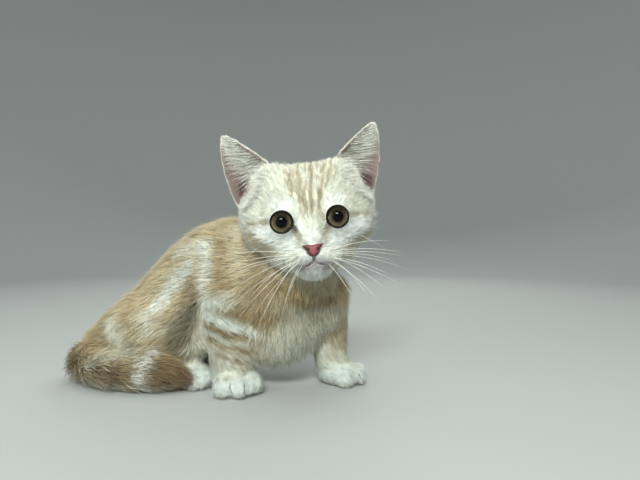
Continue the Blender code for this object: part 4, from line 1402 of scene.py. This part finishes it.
def new_material(name, **values):
    """A material's nodes and its shader, with values on the shader's own sockets."""
    material = bpy.data.materials.new(name)
    material.use_nodes = True
    shader = material.node_tree.nodes["Principled BSDF"]
    for socket, value in values.items():
        shader.inputs[socket.replace("_", " ")].default_value = value
    return material.node_tree, shader


def pattern_scale(size):
    return 1 / (size * MM)


def show_colours(tree, shader, pattern=None, **levels):
    """Links the colours kept on a piece to its shader, lighter and darker by the levels of a pattern."""
    colour = add_node(tree, "ShaderNodeAttribute", {"attribute_name": COLOURS}).outputs["Color"]
    if pattern:
        level = add_node(tree, "ShaderNodeMapRange", links={"Value": pattern}, **levels)
        links = {"Vector": colour, "Scale": level.outputs["Result"]}
        colour = add_node(tree, "ShaderNodeVectorMath", {"operation": "SCALE"}, links).outputs["Vector"]
    tree.links.new(colour, shader.inputs["Base Color"])


def fur_material():
    """Kitten fur: soft keratin hairs with a dull sheen along them, in locks of slightly different tone."""
    tree, shader = new_material(
        FUR, Roughness=0.62, IOR=1.45, Specular_IOR_Level=0.35, Sheen_Weight=0.25, Sheen_Roughness=0.5
    )
    place = add_node(tree, "ShaderNodeTexCoord").outputs["Object"]
    streak = add_node(tree, "ShaderNodeTexNoise", links={"Vector": place},
                      Scale=pattern_scale(FUR_STREAK), Detail=2.0, Roughness=0.6)
    show_colours(tree, shader, streak.outputs["Fac"], From_Min=0.3, From_Max=0.7, To_Min=0.86, To_Max=1.09)


def skin_material():
    """The skin under the coat: in the coat's colours, with the lie of short hairs in its bump."""
    tree, shader = new_material(SKIN, Roughness=0.7, Specular_IOR_Level=0.3)
    place = add_node(tree, "ShaderNodeTexCoord").outputs["Object"]
    hair = add_node(tree, "ShaderNodeTexNoise", links={"Vector": place},
                    Scale=pattern_scale(SKIN_HAIR), Detail=3.0, Roughness=0.6)
    show_colours(tree, shader, hair.outputs["Fac"], From_Min=0.3, From_Max=0.7, To_Min=0.84, To_Max=1.02)
    bump = add_node(tree, "ShaderNodeBump", links={"Height": hair.outputs["Fac"]}, Strength=0.35,
                    Distance=0.0002)
    tree.links.new(bump.outputs["Normal"], shader.inputs["Normal"])


def nose_material():
    """Nose leather: moist, finely pebbled pink skin, darker at its edges, partly as painted shade along its
    top.
    """
    tree, shader = new_material(NOSE, Roughness=0.5, IOR=1.36)
    place = add_node(tree, "ShaderNodeTexCoord").outputs["Object"]
    pebbles = add_node(tree, "ShaderNodeTexVoronoi", {"feature": "F1"}, {"Vector": place},
                       Scale=pattern_scale(NOSE_PEBBLE)).outputs["Distance"]
    show_colours(tree, shader, pebbles, From_Min=0.0, From_Max=0.8, To_Min=1.06, To_Max=0.86)
    bump = add_node(tree, "ShaderNodeBump", {"invert": True}, {"Height": pebbles}, Strength=0.5,
                    Distance=0.0002)
    tree.links.new(bump.outputs["Normal"], shader.inputs["Normal"])


def eye_material():
    """A living eye: an olive brown iris with fine fibres, under the wet gloss of the cornea."""
    tree, shader = new_material(
        EYE, Roughness=0.35, Specular_IOR_Level=0.0, Coat_Weight=0.55, Coat_Roughness=0.01, Coat_IOR=1.27
    )
    show_colours(tree, shader)


def whisker_material():
    """Whiskers: stiff white keratin, smooth and a little glossy."""
    tree, shader = new_material(WHISKERS, Roughness=0.35)
    show_colours(tree, shader)


def floor_material(colour):
    """The floor: matt painted board, with a faint fine grain that keeps it from looking flat."""
    tree, shader = new_material(FLOOR, Roughness=0.9)
    place = add_node(tree, "ShaderNodeTexCoord").outputs["Object"]
    grain = add_node(tree, "ShaderNodeTexNoise", links={"Vector": place},
                     Scale=pattern_scale(FLOOR_GRAIN), Detail=3.0)
    shades = add_node(tree, "ShaderNodeValToRGB", links={"Fac": grain.outputs["Fac"]})
    shades.color_ramp.elements[0].color = (*(np.array(colour) * 0.96), 1.0)
    shades.color_ramp.elements[1].color = (*colour, 1.0)
    tree.links.new(shades.outputs["Color"], shader.inputs["Base Color"])


# Eyes, nose and whiskers.

IRIS_RADIUS = 6.9
IRIS_RING = (0.83, 0.1)  # the pale ring's place and half width, in the iris's radius
IRIS_FIBRES = 9  # radius of the noise that the fibres are read from
PUPIL_RADIUS = 3.35
CORNEA_OUT = 0.75  # how far the cornea stands out of the eyeball
IRIS_DARK = "#2A2315"
IRIS_MIDDLE = "#5F5441"
IRIS_LIGHT = "#84785F"
IRIS_EDGE = "#0D0906"
EYE_WHITE = "#B9A89A"
PUPIL = "#070707"
NOSE_BLANK = (1.15, 0.8, 0.9)  # the ball's proportions that the nose leather is drawn from


def mesh_of(name, bm):
    """A mesh from bm, and its points as rows."""
    mesh = bpy.data.meshes.new(name)
    bm.to_mesh(mesh)
    bm.free()
    points = np.empty(len(mesh.vertices) * 3)
    mesh.vertices.foreach_get("co", points)
    return mesh, points.reshape(-1, 3)


def show_on_head(mesh, points, colours, material, node):
    """Shows a piece of the face in place of a node, from its points in the head's frame."""
    set_places(mesh, from_head(points))
    add_colours(mesh, np.clip(colours, 0, 1))
    mesh.shade_smooth()
    return show(mesh.name, mesh, material, (node,))


def build_eye(node):
    side = 1 if node.endswith("left") else -1
    bm = bmesh.new()
    bmesh.ops.create_uvsphere(bm, u_segments=128, v_segments=96, radius=EYE_RADIUS)
    bmesh.ops.rotate(bm, verts=bm.verts, matrix=Matrix.Rotation(math.pi / 2, 3, "X"))
    mesh, points = mesh_of("eyeball" + node[3:], bm)
    off, height = np.hypot(points[:, 0], points[:, 2]), points[:, 2]
    front = points[:, 1] < 0
    points[:, 1] -= np.where(front, CORNEA_OUT * ramp(off, IRIS_RADIUS + 0.6, 0.0), 0.0)
    turn = np.arctan2(height, points[:, 0])
    round_iris = np.stack((np.cos(turn) * IRIS_FIBRES, np.sin(turn) * IRIS_FIBRES, off * 0.25 + side), 1)
    fibre = np.array([noise.noise(Vector(place)) for place in round_iris])
    ring = off / IRIS_RADIUS + 0.05 * fibre
    colours = np.tile(hex_colour(IRIS_MIDDLE), (len(points), 1))
    colours = tinted(colours, IRIS_DARK, 0.6 * ramp(ring, 0.78, 0.5))
    colours = tinted(colours, IRIS_LIGHT, 0.6 * bell(ring - IRIS_RING[0], IRIS_RING[1]))
    # the iris darker at its top as painted shadow of the upper lid, and a little brighter low down as
    # painted light
    shade = mixed(0.25, 1.1, ramp(height, 5.5, -4.0)) * mixed(1.0, 0.35, ramp(height, 2.0, 5.5))
    colours = colours * (shade * (1.0 + 0.5 * fibre))[:, None]
    # the dark edge wider at the top, partly as painted shadow of the upper lid
    edge = ring + mixed(0.03, -0.04, ramp(height, 4.0, -4.0))
    colours = tinted(colours, IRIS_EDGE, ramp(edge, 0.93, 1.0))
    colours = tinted(colours, PUPIL, ramp(off, PUPIL_RADIUS + 0.25, PUPIL_RADIUS))
    colours = np.where(front[:, None], colours, hex_colour(EYE_WHITE))
    centre = (side * EYE_APART / 2, 0.0, 0.0)
    return show_on_head(mesh, points + centre, colours, EYE, node)


def build_nose():
    bm = bmesh.new()
    bmesh.ops.create_icosphere(bm, subdivisions=6, radius=7.0)
    bmesh.ops.scale(bm, verts=bm.verts, vec=NOSE_BLANK)
    mesh, points = mesh_of("nose_leather", bm)
    points = points + NOSE_PLACE
    ring = ring_of(mesh)
    for _ in range(3):
        points = drawn(points, nose_form, 0.0, 6)
        points = mixed(points, relaxed(points, ring, 2), 0.5)
    points = drawn(points, nose_form, 0.0, 6)
    off = points - NOSE_PLACE
    from_sides = (NOSE_SIDES + off[:, 2] - np.abs(off[:, 0])) / math.sqrt(2)
    inward = np.minimum(from_sides, NOSE_TOP - off[:, 2])
    colours = np.tile(hex_colour(NOSE_SKIN), (len(points), 1))
    # darker at the sides, as the skin is, and along the top as painted shade
    colours = tinted(colours, NOSE_EDGE_AND_SHADE, 0.85 * ramp(inward, 1.9, 0.3))
    # painted shade inside the nostrils' openings
    colours = tinted(colours, NOSTRIL_SHADOW, ramp(nostril_off(off), 1.15, 0.45))
    return show_on_head(mesh, points, colours, NOSE, "nose")


# Whiskers on the right and the left pad: x and z of the root, then the tip, in the head's frame.
RIGHT_WHISKERS = (
    ((-9.0, -20.0), (-67.0, -8.0, -18.0)),
    ((-11.0, -20.6), (-70.0, -6.0, -27.0)),
    ((-8.0, -21.6), (-66.0, -14.0, -35.0)),
    ((-10.0, -22.2), (-57.0, -16.0, -30.0)),
    ((-12.0, -22.6), (-64.0, -12.0, -45.0)),
    ((-9.0, -23.6), (-58.0, -20.0, -52.0)),
    ((-11.0, -24.2), (-54.0, -22.0, -57.0)),
    ((-13.0, -24.6), (-46.0, -16.0, -48.0)),
    ((-10.0, -25.6), (-46.0, -24.0, -60.0)),
    ((-12.0, -26.2), (-36.0, -26.0, -61.0)),
    ((-9.0, -27.0), (-26.0, -26.0, -56.0)),
    ((-7.0, -27.4), (-17.0, -25.0, -47.0)),
)
LEFT_WHISKERS = (
    ((9.0, -20.0), (50.0, -8.0, -20.0)),
    ((11.0, -20.6), (58.0, -4.0, -27.0)),
    ((8.0, -21.6), (55.0, -10.0, -33.0)),
    ((10.0, -22.2), (48.0, -16.0, -30.0)),
    ((12.0, -22.6), (57.0, -10.0, -38.0)),
    ((9.0, -23.6), (52.0, -18.0, -46.0)),
    ((11.0, -24.2), (45.0, -20.0, -40.0)),
    ((13.0, -24.6), (47.0, -14.0, -52.0)),
    ((10.0, -25.6), (39.0, -22.0, -55.0)),
    ((12.0, -26.2), (32.0, -22.0, -48.0)),
    ((8.0, -27.2), (22.0, -24.0, -53.0)),
)
BROW_HAIRS = (
    ((14.0, 10.5), (24.0, -22.0, 34.0)),
    ((17.0, 11.0), (33.0, -16.0, 33.0)),
    ((20.0, 10.5), (40.0, -8.0, 28.0)),
)
CHEEK_HAIRS = (((29.0, -12.0), (48.0, -4.0, -24.0)), ((28.0, -8.0), (50.0, 0.0, -12.0)))
LONG_HAIR_GROUPS = (  # hairs, the sides they grow on, how far they arch up and their share of the radius
    (RIGHT_WHISKERS, (1,), 7.0, 1.0),
    (LEFT_WHISKERS, (1,), 5.0, 1.0),
    (BROW_HAIRS, (-1, 1), -1.5, 0.6),
    (CHEEK_HAIRS, (-1, 1), 1.5, 0.6),
)
WHISKER_SEED = 5
WHISKER_ROOT = (0.0, 1.2, 0.0)  # how far in from the face's surface it starts
WHISKER_BOW = -2.5  # how far its middle bows to the front


def on_face(flat):
    """Places on the face's outer surface from their x and z in the head's frame."""
    found = np.array([(x, -16.0, z) for x, z in flat])
    for _ in range(60):
        found[:, 1] += np.clip(face_form(found), -1.0, 1.0) * 0.7
    return found


def build_whiskers(radius):
    rng = np.random.default_rng(WHISKER_SEED)
    steps = np.linspace(0.0, 1.0, 15)[:, None]
    groups = [(hairs, side, *rest) for hairs, sides, *rest in LONG_HAIR_GROUPS for side in sides]
    paths, widths = [], []
    for hairs, side, arch, share in groups:
        roots = on_face([(x * side, z) for (x, z), _ in hairs])
        for root, (_, tip) in zip(roots, hairs):
            root = root + WHISKER_ROOT
            tip = np.array(tip) * (side, 1, 1) + rng.normal(0.0, 1.5, 3)
            middle = (root + tip) / 2 + (0.0, WHISKER_BOW, arch)
            curve = root * (1 - steps) ** 2 + 2 * middle * steps * (1 - steps) + tip * steps**2
            paths.append(from_head(curve))
            widths.append(2 * radius * share * rng.uniform(0.8, 1.1))
    count = len(paths)
    out = unit(np.array([(0.0, -0.6, 1.0)] * count))
    colours = np.tile(hex_colour(WHISKER), (count, 1))
    mesh = hair_mesh("whiskers", np.array(paths), out, np.array(widths), colours)
    return show("whiskers", mesh, WHISKERS)


# The floor, the lights and the camera.

FLOOR_FLAT = 1.1  # metres from the kitten to where the backdrop starts to rise, all round
SWEEP_ROUND = 0.6
SWEEP_STEPS = 12
WALL_TOP = 2.4
SPIN_STEPS = 96
WORLD_COLOUR = (0.93, 0.97, 1.0, 1.0)
WORLD_STRENGTH = 0.28
LIGHTS_AIM = (-50.0, 0.0, 80.0)
LIGHT_TINT = (0.935, 1.0, 0.975)  # the greenish cast of shop lamps
LIGHTS = (  # name, place on the plan, width and height in metres, watts
    ("key", (-65.0, -950.0, 760.0), (0.5, 0.24), 14.5),
    ("fill", (-850.0, -650.0, 330.0), (0.9, 0.6), 2.4),
    ("ceiling", (-60.0, -60.0, 1300.0), (1.2, 1.2), 6.0),
    ("behind", (100.0, 950.0, 800.0), (0.9, 0.6), 5.0),
)


def build_floor(colour):
    """A floor that sweeps up to a wall all round, spun from its profile."""
    bm = bmesh.new()
    profile = [(0.0, 0.0), (0.4 * FLOOR_FLAT, 0.0)]
    for n in range(SWEEP_STEPS + 1):
        turn = math.pi / 2 * n / SWEEP_STEPS
        profile.append((FLOOR_FLAT + SWEEP_ROUND * math.sin(turn), SWEEP_ROUND * (1.0 - math.cos(turn))))
    profile.append((FLOOR_FLAT + SWEEP_ROUND, WALL_TOP))
    verts = [bm.verts.new((x, 0.0, z)) for x, z in profile]
    edges = [bm.edges.new(pair) for pair in zip(verts[:-1], verts[1:])]
    bmesh.ops.spin(bm, geom=verts + edges, cent=(0, 0, 0), axis=(0, 0, 1), angle=2 * math.pi,
                   steps=SPIN_STEPS, use_merge=True)
    bmesh.ops.remove_doubles(bm, verts=bm.verts, dist=1e-5)
    bmesh.ops.recalc_face_normals(bm, faces=bm.faces)
    if sum(face.normal.z for face in bm.faces) < 0:
        bmesh.ops.reverse_faces(bm, faces=bm.faces)
    mesh = mesh_of("floor", bm)[0]
    mesh.shade_smooth()
    floor = bpy.data.objects.new("floor", mesh)
    bpy.context.scene.collection.objects.link(floor)
    floor_material(colour)
    mesh.materials.append(bpy.data.materials[FLOOR])


def build_lights():
    world = bpy.data.worlds.new("studio")
    world.use_nodes = True
    world.node_tree.nodes["Background"].inputs["Color"].default_value = WORLD_COLOUR
    world.node_tree.nodes["Background"].inputs["Strength"].default_value = WORLD_STRENGTH
    bpy.context.scene.world = world
    for name, place, size, power in LIGHTS:
        light = bpy.data.lights.new(name, "AREA")
        light.shape = "RECTANGLE"
        light.size, light.size_y = size
        light.energy = power
        light.color = LIGHT_TINT
        obj = bpy.data.objects.new(name, light)
        obj.location = at(*place)
        aim = Vector(at(*LIGHTS_AIM)) - obj.location
        obj.rotation_euler = aim.to_track_quat("-Z", "Y").to_euler()
        bpy.context.scene.collection.objects.link(obj)


def build_camera():
    camera = bpy.data.cameras.new("camera")
    camera.lens = CAMERA_LENS
    camera.sensor_width = SENSOR_WIDE
    camera.clip_start = 0.01
    obj = bpy.data.objects.new("camera", camera)
    obj.location = at(*CAMERA_ON_PLAN)
    obj.rotation_euler = (math.pi / 2, 0.0, 0.0)
    bpy.context.scene.collection.objects.link(obj)
    bpy.context.scene.camera = obj
    bpy.context.scene.view_settings.view_transform = "Standard"


# The add-on: settings, operators and panel.


class KittenSizes(bpy.types.PropertyGroup):
    skin_grain: bpy.props.FloatProperty(
        name="Skin grain",
        description="Spacing of the skin's points in millimetres",
        default=1.45,
        min=0.8,
    )
    coat_share: bpy.props.FloatProperty(
        name="Coat density",
        description="Share of the coat's full number of tufts",
        default=1.0,
        min=0.05,
        max=1.5,
    )
    whisker_radius: bpy.props.FloatProperty(
        name="Whisker radius",
        description="Radius of a whisker at its root in millimetres",
        default=0.125,
        min=0.05,
    )


class KittenColours(bpy.types.PropertyGroup):
    floor: bpy.props.FloatVectorProperty(
        name="Floor",
        description="The pale floor's colour",
        subtype="COLOR",
        size=3,
        default=(0.44, 0.45, 0.44),
    )


BUILT = {}


class KITTEN_OT_materials(bpy.types.Operator):
    """Makes the kitten's materials"""

    bl_idname = "kitten.materials"
    bl_label = "Materials"

    def execute(self, context):
        for make in (fur_material, skin_material, nose_material, eye_material, whisker_material):
            make()
        return {"FINISHED"}


class KITTEN_OT_skin(bpy.types.Operator):
    """Makes one skin in place of the nodes of flesh"""

    bl_idname = "kitten.skin"
    bl_label = "Skin"

    def execute(self, context):
        skin = make_skin(context.scene.kitten_sizes.skin_grain)
        skin.colours = paint(skin)
        add_colours(skin.mesh, paint_bare(skin, skin.colours))
        skin.mesh.shade_smooth()
        replaced = tuple(name for name in FLESH if name != "nose")
        obj = show("skin", skin.mesh, SKIN, replaced)
        skin.uv = unwrap(obj)
        triangles, loops = triangles_of(skin.mesh)
        skin.vertex_uv = np.zeros((len(skin.inner), 2))
        skin.vertex_uv[triangles.ravel()] = skin.uv[loops.ravel()]
        BUILT["skin"] = skin
        return {"FINISHED"}


class KITTEN_OT_coat(bpy.types.Operator):
    """Grows the coat's tufts from the skin"""

    bl_idname = "kitten.coat"
    bl_label = "Coat"

    def execute(self, context):
        grow_coat(BUILT["skin"], context.scene.kitten_sizes.coat_share)
        grow_ear_hairs(BUILT["skin"])
        return {"FINISHED"}


class KITTEN_OT_eyes(bpy.types.Operator):
    """Makes both eyes"""

    bl_idname = "kitten.eyes"
    bl_label = "Eyes"

    def execute(self, context):
        for node in EYES:
            build_eye(node)
        return {"FINISHED"}


class KITTEN_OT_nose(bpy.types.Operator):
    """Makes the nose leather"""

    bl_idname = "kitten.nose"
    bl_label = "Nose"

    def execute(self, context):
        build_nose()
        return {"FINISHED"}


class KITTEN_OT_whiskers(bpy.types.Operator):
    """Makes the whiskers and the long hairs over the eyes"""

    bl_idname = "kitten.whiskers"
    bl_label = "Whiskers"

    def execute(self, context):
        build_whiskers(context.scene.kitten_sizes.whisker_radius)
        return {"FINISHED"}


class KITTEN_OT_stage(bpy.types.Operator):
    """Makes the floor, the lights and the camera"""

    bl_idname = "kitten.stage"
    bl_label = "Stage"

    def execute(self, context):
        build_floor(tuple(context.scene.kitten_colours.floor))
        build_lights()
        build_camera()
        return {"FINISHED"}


OPERATORS = (
    KITTEN_OT_materials,
    KITTEN_OT_skin,
    KITTEN_OT_coat,
    KITTEN_OT_eyes,
    KITTEN_OT_nose,
    KITTEN_OT_whiskers,
    KITTEN_OT_stage,
)


class KITTEN_PT_panel(bpy.types.Panel):
    """The kitten's sizes, colours and pieces"""

    bl_label = "Kitten"
    bl_space_type = "VIEW_3D"
    bl_region_type = "UI"
    bl_category = "Kitten"

    def draw(self, context):
        for group in (context.scene.kitten_sizes, context.scene.kitten_colours):
            for name in group.__annotations__:
                self.layout.prop(group, name)
        for operator in OPERATORS:
            self.layout.operator(operator.bl_idname)


CLASSES = (KittenSizes, KittenColours, *OPERATORS, KITTEN_PT_panel)


def register():
    for cls in CLASSES:
        bpy.utils.register_class(cls)
    bpy.types.Scene.kitten_sizes = bpy.props.PointerProperty(type=KittenSizes)
    bpy.types.Scene.kitten_colours = bpy.props.PointerProperty(type=KittenColours)


def unregister():
    del bpy.types.Scene.kitten_colours
    del bpy.types.Scene.kitten_sizes
    for cls in reversed(CLASSES):
        bpy.utils.unregister_class(cls)


def main():
    register()
    bpy.ops.kitten.materials()
    bpy.ops.kitten.skin()
    bpy.ops.kitten.coat()
    bpy.ops.kitten.eyes()
    bpy.ops.kitten.nose()
    bpy.ops.kitten.whiskers()
    bpy.ops.kitten.stage()


if __name__ == "__main__":
    main()
